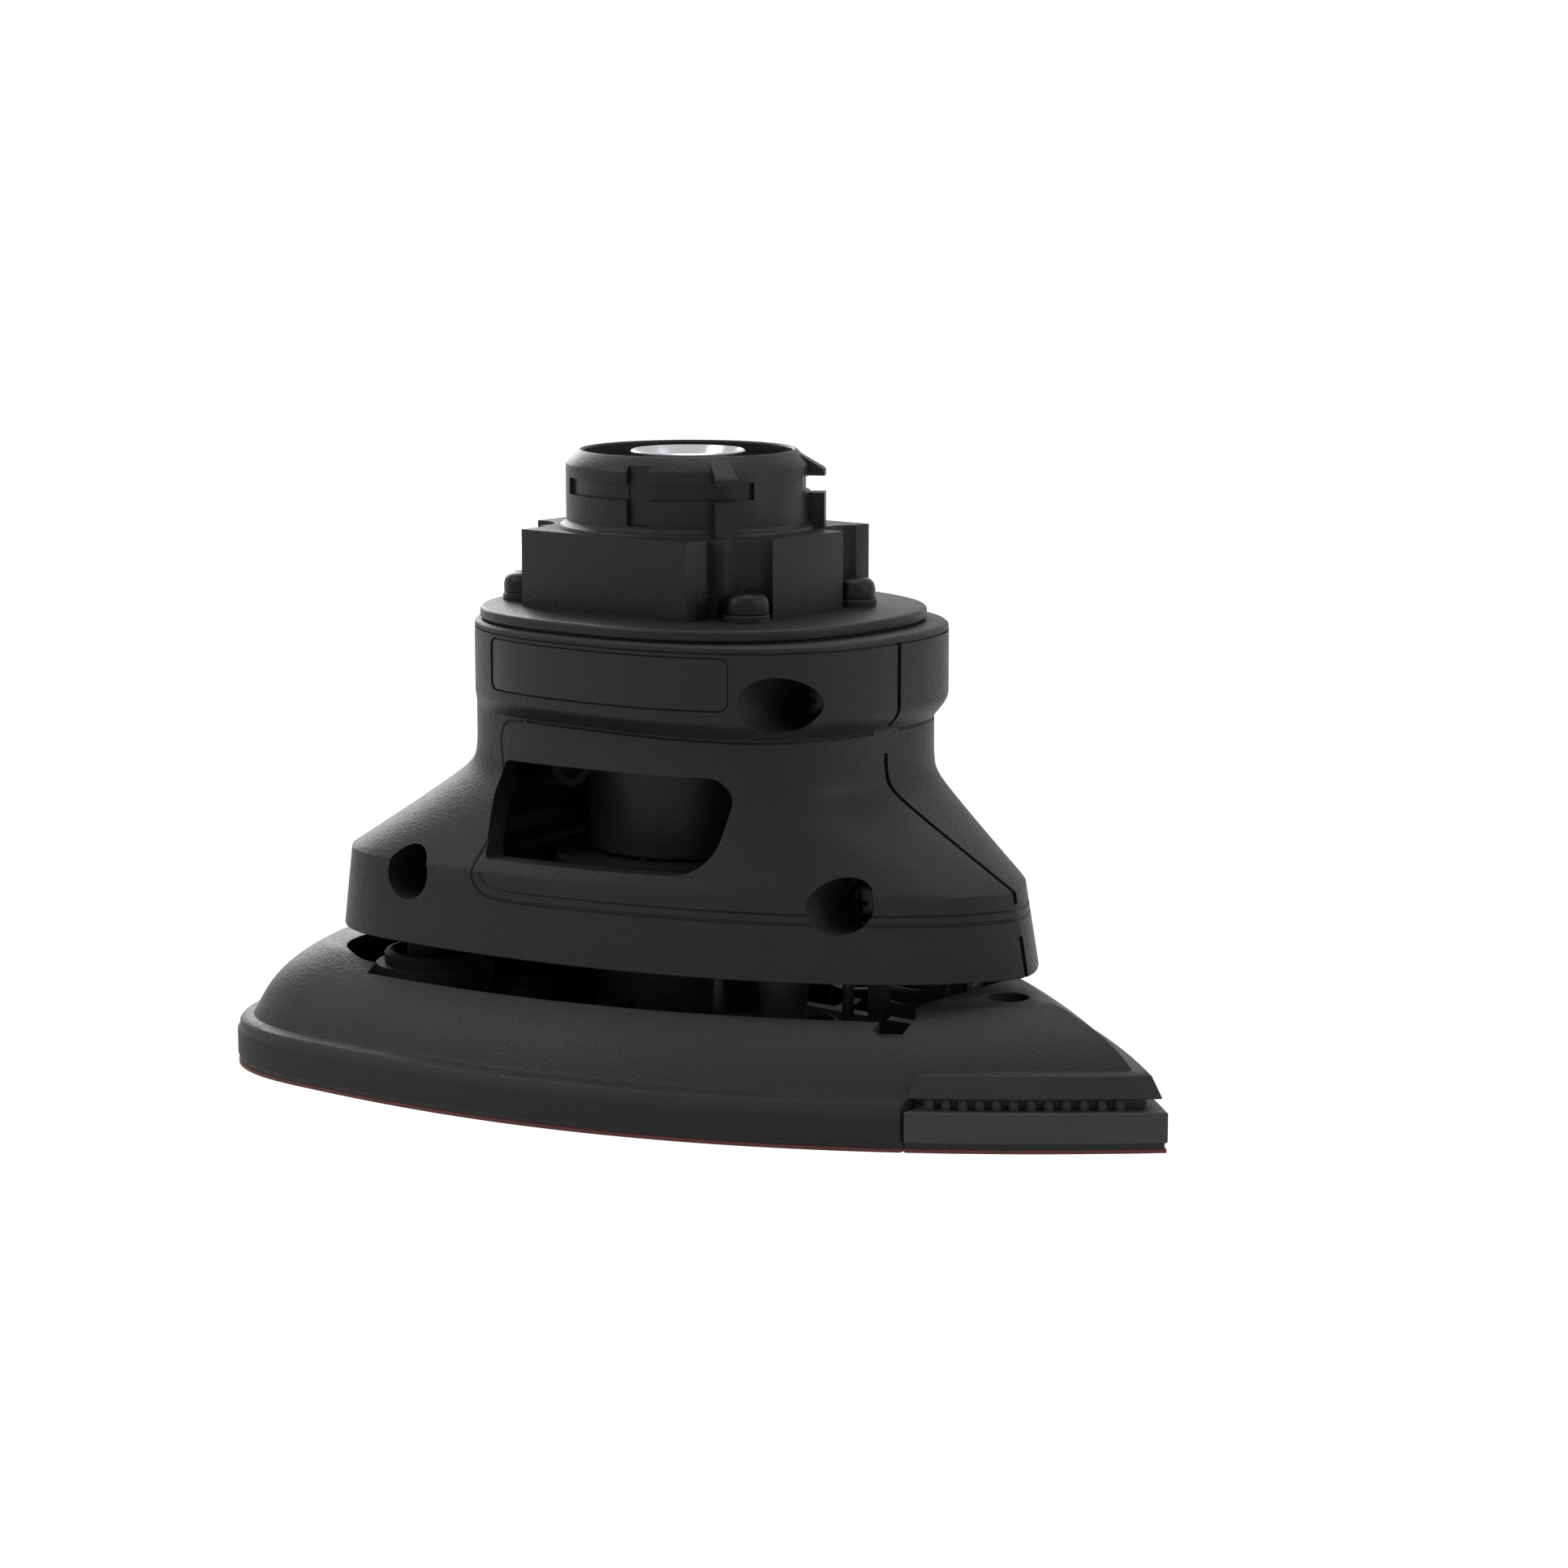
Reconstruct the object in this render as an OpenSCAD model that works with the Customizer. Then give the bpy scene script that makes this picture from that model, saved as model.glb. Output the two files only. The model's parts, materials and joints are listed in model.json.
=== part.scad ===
// Detail sanding head: an iron-shaped orbiting platen under a two-shell housing,
// driven through a splined coupling inside a bayonet collar.
// Frame: origin on the drive axis at the sanding face, +X towards the pointed tip, +Z up.

/* [Platen] */
// Drive axis to the pointed tip
tip_reach = 80.8; // [72:0.1:98]
// Drive axis to the back edge of the platen
rear_reach = 59; // [52:0.1:71]
// Greatest half width of the platen
base_half_w = 45.8; // [42:0.1:56]
// How far behind the drive axis the platen is widest
widest_back = 30; // [20:1:36]
// Height of the platen moulding above its pad
platen_h = 12.1; // [11.9:0.1:15]
// Wall of the platen moulding
platen_wall = 2.6; // [2:0.1:3.2]
// Abrasive sheet thickness
paper_t = 0.5; // [0.3:0.1:1]
// Hook layer thickness
hook_t = 0.8; // [0.6:0.1:1.5]
// Cushion pad thickness
pad_t = 3.6; // [3:0.1:4.4]
// Radius of the dust holes
dust_r = 2.8; // [2:0.1:3.4]

/* [Detachable tip] */
// Where the tip holder starts, ahead of the drive axis
tip_start = 53.8; // [50:0.1:60]
// Where the dust hole in the platen's nose is, ahead of the drive axis
front_hole_x = 55.3; // [50:0.1:60]
// Height of the tip holder block above the sanding face
tip_block_h = 5.4; // [5:0.1:6]
// Gap between the tip holder block and the nose lip, filled by the teeth
tooth_gap = 1.6; // [1.3:0.1:2]
// Height of the flared nose lip
lip_h = 3.1; // [2.6:0.1:3.8]
// Pitch of the teeth
tooth_pitch = 2.2; // [1.8:0.1:2.6]

/* [Housing] */
// Running gap between platen and housing
platen_gap = 3; // [2.5:0.1:3.6]
// Height of the skirt wall
skirt_h = 11.2; // [9.4:0.1:13.5]
// Height of the concave slope above the skirt
bell_h = 15.3; // [12.8:0.1:18.5]
// Height of the straight neck under the band
neck_h = 4.3; // [3.6:0.1:5.2]
// Height of the flare from neck to band
flare_h = 3.2; // [2.7:0.1:3.9]
// Height of the upright band
band_h = 8.9; // [8.5:0.1:10.7]
// Half width of the skirt
skirt_half_w = 35.6; // [34:0.1:38]
// Drive axis to the front of the skirt
skirt_front = 58.3; // [56:0.1:62]
// Half width of the neck
neck_half_w = 23.8; // [22.5:0.1:25]
// Half width of the band
band_half_w = 28.5; // [27:0.1:30]
// Wall of the shells
shell_wall = 2; // [1.7:0.1:2.4]

/* [Adapter] */
// Radius of the bayonet collar
collar_r = 16.9; // [16:0.1:18]
// Wall of the bayonet collar at its top
collar_wall = 2.35; // [2:0.05:2.8]
// Height of the bayonet collar
collar_h = 10.7; // [10:0.1:12.8]
// Depth of the bayonet groove
groove_depth = 0.6; // [0.4:0.1:0.8]
// How far the two fins stand out from the collar
fin_out = 2.2; // [1.8:0.1:2.6]
// Height of the flange plate
flange_h = 2.1; // [1.7:0.1:2.6]
// Height of the cross block
block_h = 10.6; // [9.5:0.1:13.2]
// Half length of the block's long bar, along X
block_x = 21.3; // [19:0.1:23]
// Half width of the block, along Y
block_y = 18; // [16.5:0.1:19]
// Adapter screw places, along X
adapter_screw_x = 20; // [19:0.1:21]
// Adapter screw places, along Y
adapter_screw_y = 11.6; // [11:0.1:13]

/* [Drive] */
// Orbit radius: offset of the crank journal
orbit = 0.8; // [0.5:0.05:1]
// Shaft diameter, and bore of every bearing
shaft_d = 8; // [7:0.1:9]
// Outside diameter of every bearing
bearing_od = 22; // [20:0.1:22.8]
// Width of every bearing
bearing_w = 7; // [6:0.1:7.4]
// Diameter of the bearing balls
ball_d = 3.8; // [3.4:0.1:4]
// Diameter of the fan
fan_d = 37.5; // [32:0.1:38]
// Height of the fan
fan_h = 7.5; // [6.5:0.1:8]
// Radius of the counterweight
weight_r = 17; // [14:0.1:19]
// Height of the counterweight
weight_h = 5; // [4:0.1:5.4]
// Radius of the coupling
coupling_r = 7.9; // [7.6:0.1:8.4]
// Radius of the plain pilot bore in the coupling
pilot_r = 4.5; // [4:0.1:5]
// Radius of the splined socket
socket_r = 5.2; // [5.1:0.1:5.6]
// Number of spline slots
spline_count = 6; // [5:1:8]

/* [Legs and screws] */
// Front leg place, along X
leg_front_x = 30; // [28:0.5:33]
// Front leg place, along Y
leg_front_y = 16; // [15:0.5:18]
// Rear leg place, behind the drive axis
leg_rear_x = 28; // [27:0.5:31]
// Rear leg place, along Y
leg_rear_y = 23.5; // [22:0.5:24]
// Radius of the elastic legs
leg_r = 3.6; // [3:0.1:4]
// Radius of the recesses for the shell screws
recess_r = 3.7; // [3.2:0.1:4]
// Radius of a shell screw's head
screw_head_r = 2.75; // [2.4:0.05:3]
// Radius of a screw's thread
screw_r = 1.5; // [1.2:0.1:1.7]

/* [Hidden] */
$fn = 64;

// Clearances
press = 0.02;        // pieces pressed or clamped together
slip = 0.3;          // pieces that move past each other
eps = 0.01;          // cutters run past the face they cut

// Heights, from the sanding face up
z_hook = paper_t;
z_pad = z_hook + hook_t;
z_platen = z_pad + pad_t;
z_platen_top = z_platen + platen_h;
z_skirt = z_platen_top + platen_gap;
z_crease = z_skirt + skirt_h;
z_neck = z_crease + bell_h;
z_flare = z_neck + neck_h;
z_band = z_flare + flare_h;
z_shell_top = z_band + band_h;
gasket_t = 0.4;
z_flange = z_shell_top + gasket_t;
z_flange_top = z_flange + flange_h;
z_block_top = z_flange_top + block_h;
z_collar_top = z_block_top + collar_h;

// Plan outlines: [widest x, rear length, front length, half width, rear power, front p, front q]
base_plan = [-widest_back, rear_reach - widest_back, tip_reach + widest_back, base_half_w, 3, 2.3, 1];
skirt_back = 22;
skirt_rear = 22;
draft_in = 1.1;
skirt_plan = [-skirt_back, skirt_rear, skirt_front + skirt_back, skirt_half_w, 3, 2, 1.6];
crease_plan = [-skirt_back, skirt_rear - draft_in, skirt_front + skirt_back - 2 * draft_in,
               skirt_half_w - draft_in, 3, 2, 1.6];
neck_rear = 28.5;
neck_front = 34.7;
neck_plan = [0, neck_rear, neck_front, neck_half_w, 3, 3, 3];
band_front = neck_front + 2.2;
band_plan = [0, neck_rear - 0.2, band_front, band_half_w, 2.3, 2.5, 2.5];
flange_plan = [0, neck_rear - 3.1, neck_front - 1, neck_half_w, 2.5, 2.5, 2.5];
side_steps = 16;     // points in a quarter of an outline
tip_lead = 1.5;      // a pointed tip draws back this much more than its sides

// One quarter-by-quarter outline, anticlockwise from the front point
function front_y(o, s) = o[3] * pow(max(0, 1 - pow(s, o[5])), 1 / o[6]);
function rear_y(o, s) = o[3] * pow(max(0, 1 - pow(s, o[4])), 1 / o[4]);
function half_plan(o, k) = concat(
    [for (i = [0 : k - 1]) let (s = cos(90 * i / k)) [o[0] + o[2] * s, front_y(o, s)]],
    [for (i = [0 : k]) let (s = sin(90 * i / k)) [o[0] - o[1] * s, rear_y(o, s)]]);
function plan(o, k = side_steps) = let (h = half_plan(o, k), n = len(h))
    concat(h, [for (i = [n - 2 : -1 : 1]) [h[i].x, -h[i].y]]);
function inset(o, d, lead = 1) = [o[0], o[1] - d, o[2] - d * lead, o[3] - d, o[4], o[5], o[6]];
function mix(a, b, t) = [for (i = [0 : len(a) - 1]) a[i] * t + b[i] * (1 - t)];
function at(points, z) = [for (p = points) [p.x, p.y, z]];

// Solid skin through a stack of outlines that have the same number of points
module loft(levels) {
    n = len(levels[0]);
    m = len(levels);
    sides = [for (k = [0 : m - 2], i = [0 : n - 1]) let (j = (i + 1) % n, a = k * n, b = a + n)
        each [[a + i, b + i, b + j], [a + i, b + j, a + j]]];
    lids = [[for (i = [0 : n - 1]) i], [for (i = [n - 1 : -1 : 0]) (m - 1) * n + i]];
    polyhedron([for (l = levels) each l], concat(lids, sides));
}

module tube(r_out, r_in, z0, z1) {
    translate([0, 0, z0]) difference() {
        cylinder(r = r_out, h = z1 - z0);
        translate([0, 0, -eps]) cylinder(r = r_in, h = z1 - z0 + 2 * eps);
    }
}

module post(r, z0, z1) {
    translate([0, 0, z0]) cylinder(r = r, h = z1 - z0);
}

module box(x0, x1, y0, y1, z0, z1) {
    translate([x0, y0, z0]) cube([x1 - x0, y1 - y0, z1 - z0]);
}

module slab(o, z0, z1) {
    translate([0, 0, z0]) linear_extrude(z1 - z0) polygon(plan(o, 2 * side_steps));
}

module four(x, y) {
    for (sx = [-1, 1], sy = [-1, 1]) translate([sx * x, sy * y, 0]) children();
}

// ---- bearings: three alike, each as two grooved races and a ring of balls
race_t = 1.9;
inner_r = shaft_d / 2;
outer_r = bearing_od / 2;
pitch_r = (inner_r + outer_r) / 2;
ball_r = ball_d / 2;
ball_count = 7;
track_r = ball_r + 0.1;

module track() {
    rotate_extrude() translate([pitch_r, 0]) circle(r = track_r);
}

module inner_race(z) {
    translate([0, 0, z]) difference() {
        tube(inner_r + race_t, inner_r + press, 0, bearing_w);
        translate([0, 0, bearing_w / 2]) track();
    }
}

module outer_race(z) {
    translate([0, 0, z]) difference() {
        tube(outer_r, outer_r - race_t, 0, bearing_w);
        translate([0, 0, bearing_w / 2]) track();
    }
}

module balls(z) {
    for (i = [0 : ball_count - 1])
        rotate(i * 360 / ball_count) translate([pitch_r, 0, z + bearing_w / 2]) sphere(r = ball_r);
}

// ---- heights inside the housing
crank_z = z_platen + 3.4;
crank_top = crank_z + bearing_w;
journal_flange_r = inner_r + 2.2;
weight_z = max(z_platen_top + 1.6, crank_top + 2);
fan_z = weight_z + weight_h;
fan_top = fan_z + fan_h;
lower_z = fan_top + 2;
upper_z = z_shell_top - 2 - bearing_w;
carrier_z = lower_z - 1.4;
carrier_r = outer_r + 3.1;
carrier_flange_t = 2;
carrier_flange_r = carrier_r + 2.4;
clip_t = 1;
coupling_z = z_flange_top + 1;
coupling_top = z_collar_top - 0.1;
socket_depth = 12.6;
shaft_top = coupling_top - socket_depth;
pilot_h = 4;
funnel_h = 3.6;
funnel_r = coupling_r - 0.45;
pin_z = (coupling_z + shaft_top) / 2;
pin_r = 1.2;
neck_r = inner_r + 1.5;
collar_floor = z_block_top - 4;
collar_in = collar_r - collar_wall;

// ---- housing shells
bell_start = 0.24;
bell_slope = 1 / (1 - bell_start);
bell_soft = 0.055;
// share of the crease outline at height z: 0 at the neck, 1 at the crease
function bell(z) = let (h = (z_neck - z) / bell_h, m = bell_slope * (h - bell_start))
    h >= 1 ? 1 : h <= 0 ? 0 : (m + sqrt(m * m + 4 * bell_soft * bell_soft)) / 2 * min(1, h / bell_start);
function housing_plan(z) =
    z <= z_crease ? mix(plan(crease_plan), plan(skirt_plan), (z - z_skirt) / skirt_h) :
    z <= z_neck ? mix(plan(crease_plan), plan(neck_plan), bell(z)) :
    z <= z_flare ? plan(neck_plan) :
    z <= z_band ? mix(plan(band_plan), plan(neck_plan), (z - z_flare) / flare_h) : plan(band_plan);
bell_steps = 8;
bell_levels = [for (i = [1 : bell_steps]) z_crease + bell_h * i / bell_steps];
top_plate = 2.5;
rim_chamfer = 0.8;

module housing_outer() {
    loft(concat(
        [at(housing_plan(z_skirt), z_skirt), at(housing_plan(z_crease), z_crease)],
        [for (z = bell_levels) at(housing_plan(z), z)],
        [at(housing_plan(z_flare), z_flare), at(housing_plan(z_band), z_band),
         at(plan(band_plan), z_shell_top - rim_chamfer),
         at(plan(inset(band_plan, rim_chamfer)), z_shell_top)]));
}

// The hollow is the outer shape drawn in by the wall and lowered by the same amount
module housing_hollow() {
    crease_in = inset(crease_plan, shell_wall, tip_lead);
    neck_in = inset(neck_plan, shell_wall);
    band_in = inset(band_plan, shell_wall);
    drop = shell_wall * 0.8;
    loft(concat(
        [at(plan(inset(skirt_plan, shell_wall, tip_lead)), z_skirt - 1),
         at(plan(crease_in), z_crease - drop)],
        [for (z = bell_levels) at(mix(plan(crease_in), plan(neck_in), bell(z)), z - drop)],
        [at(plan(neck_in), z_flare), at(plan(band_in), z_band + drop / 2),
         at(plan(band_in), z_shell_top - top_plate)]));
}

module half_space(side) {
    reach = 2 * rear_reach + tip_reach;
    translate([-reach / 2, side > 0 ? 0 : -reach / 2, z_skirt - 2])
        cube([reach, reach / 2, z_shell_top - z_skirt + 4]);
}

// Shell screws run along Y: [x, z, depth of the head from the split plane]
band_screw = [band_front - 6, z_band + 1.8, 10.2];
front_screw = [skirt_front - 17.3, z_crease - 1.1, 11.8];
rear_screw = [-21.3, z_crease - 1.5, 24];
shell_screw_list = [band_screw, front_screw, rear_screw];
boss_wall = 1.5;
boss_r = screw_r + 1.1;
boss_reach = 30;

module along_y(s, r, y0, y1) {
    translate([s[0], y0, s[1]]) rotate([-90, 0, 0]) cylinder(r = r, h = y1 - y0);
}

// Exhaust window, rounded at its corners, cut along Y
window_x0 = -12.4;
window_x1 = 25.4;
window_z0 = z_crease + 2;
window_z1 = z_neck - 1.4;
window_round = 4;
module window_cut(side) {
    y0 = side > 0 ? carrier_r + 1 : -boss_reach - 10;
    w = window_x1 - window_x0;
    h = window_z1 - window_z0;
    translate([window_x0, y0, window_z1]) rotate([-90, 0, 0]) linear_extrude(boss_reach + 9 - carrier_r) {
        translate([window_round, 0]) square([w - 2 * window_round, h]);
        translate([0, window_round]) square([w, h - 2 * window_round]);
        for (x = [window_round, w - window_round], z = [window_round, h - window_round])
            translate([x, z]) circle(r = window_round);
    }
}

// Blank rating plate let into the band of the right shell
plate_x0 = -13;
plate_x1 = 26.2;
plate_z0 = z_band + 0.9;
plate_z1 = z_shell_top - 0.8;
plate_t = 0.4;
plate_sink = 0.15;
module plate_solid(margin, d0, d1) {
    difference() {
        slab(inset(band_plan, d0), plate_z0 + margin, plate_z1 - margin);
        translate([0, 0, -eps]) slab(inset(band_plan, d1), plate_z0, plate_z1 + 1);
        box(-2 * rear_reach, plate_x0 + margin, -rear_reach, rear_reach, 0, z_collar_top);
        box(plate_x1 - margin, 2 * tip_reach, -rear_reach, rear_reach, 0, z_collar_top);
        box(-rear_reach, tip_reach, 0, rear_reach, 0, z_collar_top);
    }
}

leg_top = z_crease - 1.6 - recess_r - 1.3;
leg_socket_r = leg_r + press;
leg_boss_r = leg_r + 1.5;
leg_bottom = z_platen + 6.6;

outlet_z = z_crease + bell_h * 0.68;
outlet_r = 3.4;
outlet_x = -34;
outlet_half = 6.5;
outlet_spigot_r = outlet_r + 1.2;

module leg_places(side) {
    translate([leg_front_x, side * leg_front_y, 0]) children();
    translate([-leg_rear_x, side * leg_rear_y, 0]) children();
}

module shell(side) {
    difference() {
        union() {
            intersection() {
                difference() {
                    housing_outer();
                    housing_hollow();
                }
                half_space(side);
            }
            // leg sockets hang from a rib that crosses the skirt
            leg_places(side) post(leg_boss_r, z_skirt + 1, leg_top + 1.5);
            box(leg_front_x - 1, leg_front_x + 1, side > 0 ? leg_front_y : -leg_front_y - 7.4,
                side > 0 ? leg_front_y + 7.4 : -leg_front_y, z_skirt + 1, leg_top);
            box(-leg_rear_x - 1, -leg_rear_x + 1, side > 0 ? leg_rear_y : -leg_rear_y - 9,
                side > 0 ? leg_rear_y + 9 : -leg_rear_y, z_skirt + 1, leg_top);
            // bosses under the top plate take the adapter screws
            for (sx = [-1, 1]) translate([sx * adapter_screw_x, side * adapter_screw_y, 0])
                post(boss_r + 0.9, z_shell_top - 14, z_shell_top - top_plate + eps);
            for (s = shell_screw_list)
                along_y(s, boss_r, side > 0 ? 0 : -s[2] - 2, side > 0 ? s[2] - 1 : 0);
            if (side < 0) intersection() {
                for (s = shell_screw_list)
                    along_y(s, recess_r + boss_wall, -boss_reach - 6, boss_wall - s[2]);
                difference() {
                    housing_outer();
                    post(fan_d / 2 + 1.5, z_skirt - 1, z_band);
                }
            }
            if (side > 0) intersection() {
                for (s = shell_screw_list)
                    along_y(s, boss_r + 0.8, s[2] - 1.5, boss_reach + 6);
                difference() {
                    housing_outer();
                    post(fan_d / 2 + 1.5, z_skirt - 1, z_band);
                }
            }
        }
        // the carrier drops in through the top plate
        post(carrier_flange_r + 0.1, z_shell_top - top_plate - 1, z_shell_top + 1);
        for (sx = [-1, 1]) translate([sx * adapter_screw_x, side * adapter_screw_y, 0])
            post(screw_r + press, z_shell_top - 12.5, z_shell_top + 1);
        leg_places(side) post(leg_socket_r, z_skirt - 1, leg_top);
        window_cut(side);
        for (s = shell_screw_list) {
            along_y(s, screw_r + press, side > 0 ? -1 : -s[2] - 3, side > 0 ? s[2] - 3 : 1);
            if (side < 0) along_y(s, recess_r, -boss_reach - 12, -s[2]);
        }
        translate([0, 0, outlet_z]) rotate([0, -90, 0]) {
            cylinder(r = outlet_spigot_r + press, h = boss_reach + 30);
        }
        box(outlet_x - 20, outlet_x + 3 + press, -outlet_half - press, outlet_half + press,
            outlet_z - outlet_spigot_r - press, z_flare);
        if (side < 0) plate_solid(0, -1, plate_t + plate_sink);
    }
}

module right_shell() {
    color("#232323") shell(-1);
}

module left_shell() {
    color("#232323") shell(1);
}

module rating_plate() {
    color("#3a3633") plate_solid(plate_sink, plate_sink, plate_sink + plate_t - press);
}

module pan_screw(head_r, head_h, r, length) {
    cross = head_r * 0.55;
    difference() {
        union() {
            cylinder(r = head_r, h = head_h * 0.6);
            translate([0, 0, head_h * 0.6]) cylinder(r1 = head_r, r2 = head_r * 0.7, h = head_h * 0.4);
            translate([0, 0, -length]) cylinder(r = r, h = length + eps);
        }
        for (a = [0, 90]) rotate(a)
            translate([-cross, -0.4, head_h * 0.35]) cube([2 * cross, 0.8, head_h]);
    }
}

module shell_screws() {
    color("#151515") for (s = shell_screw_list)
        translate([s[0], -s[2], s[1]]) rotate([90, 0, 0])
            pan_screw(screw_head_r, 1.8, screw_r, 2 * s[2] - 4);
}

module dust_outlet() {
    color("#1c1c1c") difference() {
        union() {
            box(outlet_x, outlet_x + 3, -outlet_half, outlet_half,
                outlet_z - outlet_spigot_r, outlet_z + outlet_spigot_r - 0.2);
            translate([outlet_x + 3 - eps, 0, outlet_z]) rotate([0, 90, 0])
                cylinder(r = outlet_spigot_r, h = 9);
        }
        translate([outlet_x - 1, 0, outlet_z]) rotate([0, 90, 0]) cylinder(r = outlet_r, h = 20);
    }
}

// ---- adapter: flange, cross block and bayonet collar in one moulding
collar_top_r = collar_r - 1.9;
fin_angle = 33.7;
fin_span = 9.7;
groove_from = 17.9;
groove_to = 123.5;
groove_z0 = z_block_top + 4.9;
groove_h = 2.3;
slot_from = 67.9;
slot_span = 11;
pocket_r = 4.2;
head_seat = 1;
bar_back = 14.8;
bar_front = 17.9;
bar_y = 8.3;
core_x = 18.9;
core_y = 13;

module ring_cut(from, span, r0, r1, z0, z1) {
    rotate(from) rotate_extrude(angle = span) translate([r0, z0]) square([r1 - r0, z1 - z0]);
}

module fin() {
    rotate(fin_angle - fin_span / 2) rotate_extrude(angle = fin_span)
        polygon([[collar_top_r - 1, z_block_top - 1], [collar_r + fin_out, z_block_top - 1],
                 [collar_r + fin_out, z_collar_top - 2.5], [collar_top_r - 0.2, z_collar_top - 0.05],
                 [collar_top_r - 1, z_collar_top - 0.05]]);
}

module adapter_housing() {
    color("#202020") difference() {
        union() {
            slab(flange_plan, z_flange, z_flange_top);
            box(-bar_back, bar_front, -block_y, block_y, z_flange_top - eps, z_block_top);
            box(-block_x, block_x, -bar_y, bar_y, z_flange_top - eps, z_block_top);
            box(-core_x, core_x, -core_y, core_y, z_flange_top - eps, z_block_top);
            rotate_extrude() polygon([
                [0, z_block_top - 1], [collar_r + 1, z_block_top - 1], [collar_r + 1, z_block_top],
                [collar_r, z_block_top + 1], [collar_r, z_collar_top - 1.9], [collar_top_r, z_collar_top],
                [0, z_collar_top]]);
            for (m = [0, 1]) mirror([0, m, 0]) fin();
            four(adapter_screw_x, adapter_screw_y)
                post(screw_head_r + 0.8, z_flange_top - eps, z_flange_top + head_seat);
        }
        for (m = [0, 1]) mirror([0, m, 0]) {
            ring_cut(groove_from, groove_to - groove_from, collar_r - groove_depth, collar_r + 9,
                groove_z0, groove_z0 + groove_h);
            ring_cut(slot_from, slot_span, collar_r - groove_depth - 0.2, collar_r + 9,
                z_block_top + 1.4, z_collar_top + 1);
        }
        post(collar_in, collar_floor, z_collar_top + 1);
        post(coupling_r + 0.8, z_flange - 1, collar_floor + 1);
        four(adapter_screw_x, adapter_screw_y) post(pocket_r, z_flange_top + head_seat, z_block_top + 1);
        four(adapter_screw_x, adapter_screw_y) post(screw_r + 0.15, z_flange - 1, z_block_top);
    }
}

module adapter_screws() {
    color("#101010") four(adapter_screw_x, adapter_screw_y)
        translate([0, 0, z_flange_top + head_seat]) pan_screw(screw_head_r, 2.6, screw_r, 14);
}

module flange_gasket() {
    color("#2b2b2b") difference() {
        slab(inset(flange_plan, 1.2), z_shell_top, z_flange);
        post(carrier_r, z_shell_top - 1, z_flange + 1);
        four(adapter_screw_x, adapter_screw_y) post(screw_r + 0.4, z_shell_top - 1, z_flange + 1);
    }
}

module bearing_carrier() {
    color("#262626") rotate_extrude() polygon([
        [outer_r + press, carrier_z], [carrier_r, carrier_z],
        [carrier_r, z_shell_top - carrier_flange_t], [carrier_flange_r, z_shell_top - carrier_flange_t],
        [carrier_flange_r, z_shell_top], [outer_r + press, z_shell_top],
        [outer_r + press, upper_z], [outer_r - race_t, upper_z],
        [outer_r - race_t, lower_z + bearing_w], [outer_r + press, lower_z + bearing_w]]);
}

module carrier_circlip() {
    color("#8a8d91") difference() {
        tube(outer_r, outer_r - race_t + 0.3, lower_z - clip_t, lower_z);
        box(0, 2 * outer_r, -1.5, 1.5, lower_z - 2, lower_z + 1);
    }
}

module upper_outer_race() {
    color("#b8bcc0") outer_race(upper_z);
}

module upper_balls() {
    color("#d5d8da") balls(upper_z);
}

module lower_outer_race() {
    color("#b8bcc0") outer_race(lower_z);
}

module lower_balls() {
    color("#d5d8da") balls(lower_z);
}

// Elastic legs let the platen orbit but not turn
module support_legs() {
    color("#1a1a1a") for (side = [-1, 1]) leg_places(side) difference() {
        post(leg_r, leg_bottom, leg_top);
        post(screw_r * 0.8 + press, leg_top - 6, leg_top + 1);
    }
}

module leg_pins() {
    color("#9a9da1") for (side = [-1, 1]) leg_places(side) post(screw_r * 0.8, leg_top - 5.8, leg_top);
}

// ---- spindle group
module on_crank() {
    translate([orbit, 0, 0]) children();
}

module spindle() {
    color("#a9adb1") difference() {
        union() {
            post(inner_r, crank_top + eps, shaft_top);
            post(journal_flange_r, crank_top, weight_z);
            on_crank() post(inner_r - press, crank_z, crank_top + eps);
        }
        translate([-coupling_r, 0, pin_z]) rotate([0, 90, 0]) cylinder(r = pin_r + press, h = 2 * coupling_r);
        on_crank() post(screw_r + 0.5 + press, crank_z - 1, crank_z + 6.2);
    }
}

module drive_coupling() {
    spline_w = 1.2;
    color("#c9ccce") difference() {
        union() {
            post(neck_r, upper_z + bearing_w + clip_t + 0.2, coupling_z + eps);
            post(coupling_r, coupling_z, coupling_top);
        }
        post(inner_r + press, upper_z, shaft_top);
        post(pilot_r, shaft_top - eps, shaft_top + pilot_h + eps);
        post(socket_r, shaft_top + pilot_h, coupling_top - funnel_h + eps);
        translate([0, 0, coupling_top - funnel_h])
            cylinder(r1 = socket_r, r2 = funnel_r, h = funnel_h + eps);
        for (i = [0 : spline_count - 1]) rotate(i * 360 / spline_count)
            box(0, socket_r + 1, -spline_w / 2, spline_w / 2, shaft_top + pilot_h, coupling_top - 1.2);
        translate([-coupling_r - 1, 0, pin_z]) rotate([0, 90, 0])
            cylinder(r = pin_r + press, h = 2 * coupling_r + 2);
    }
}

module coupling_pin() {
    color("#8d9094") translate([-coupling_r + 0.5, 0, pin_z]) rotate([0, 90, 0])
        cylinder(r = pin_r, h = 2 * coupling_r - 1);
}

module shaft_circlip() {
    color("#8a8d91") difference() {
        tube(inner_r + race_t, inner_r + press, upper_z + bearing_w, upper_z + bearing_w + clip_t);
        box(0, 2 * inner_r, -1.2, 1.2, upper_z + bearing_w - 1, upper_z + bearing_w + clip_t + 1);
    }
}

module upper_inner_race() {
    color("#b8bcc0") inner_race(upper_z);
}

module lower_inner_race() {
    color("#b8bcc0") inner_race(lower_z);
}

module bearing_spacer() {
    color("#9ea2a6") tube(neck_r, inner_r + press, lower_z + bearing_w, upper_z);
}

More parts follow.
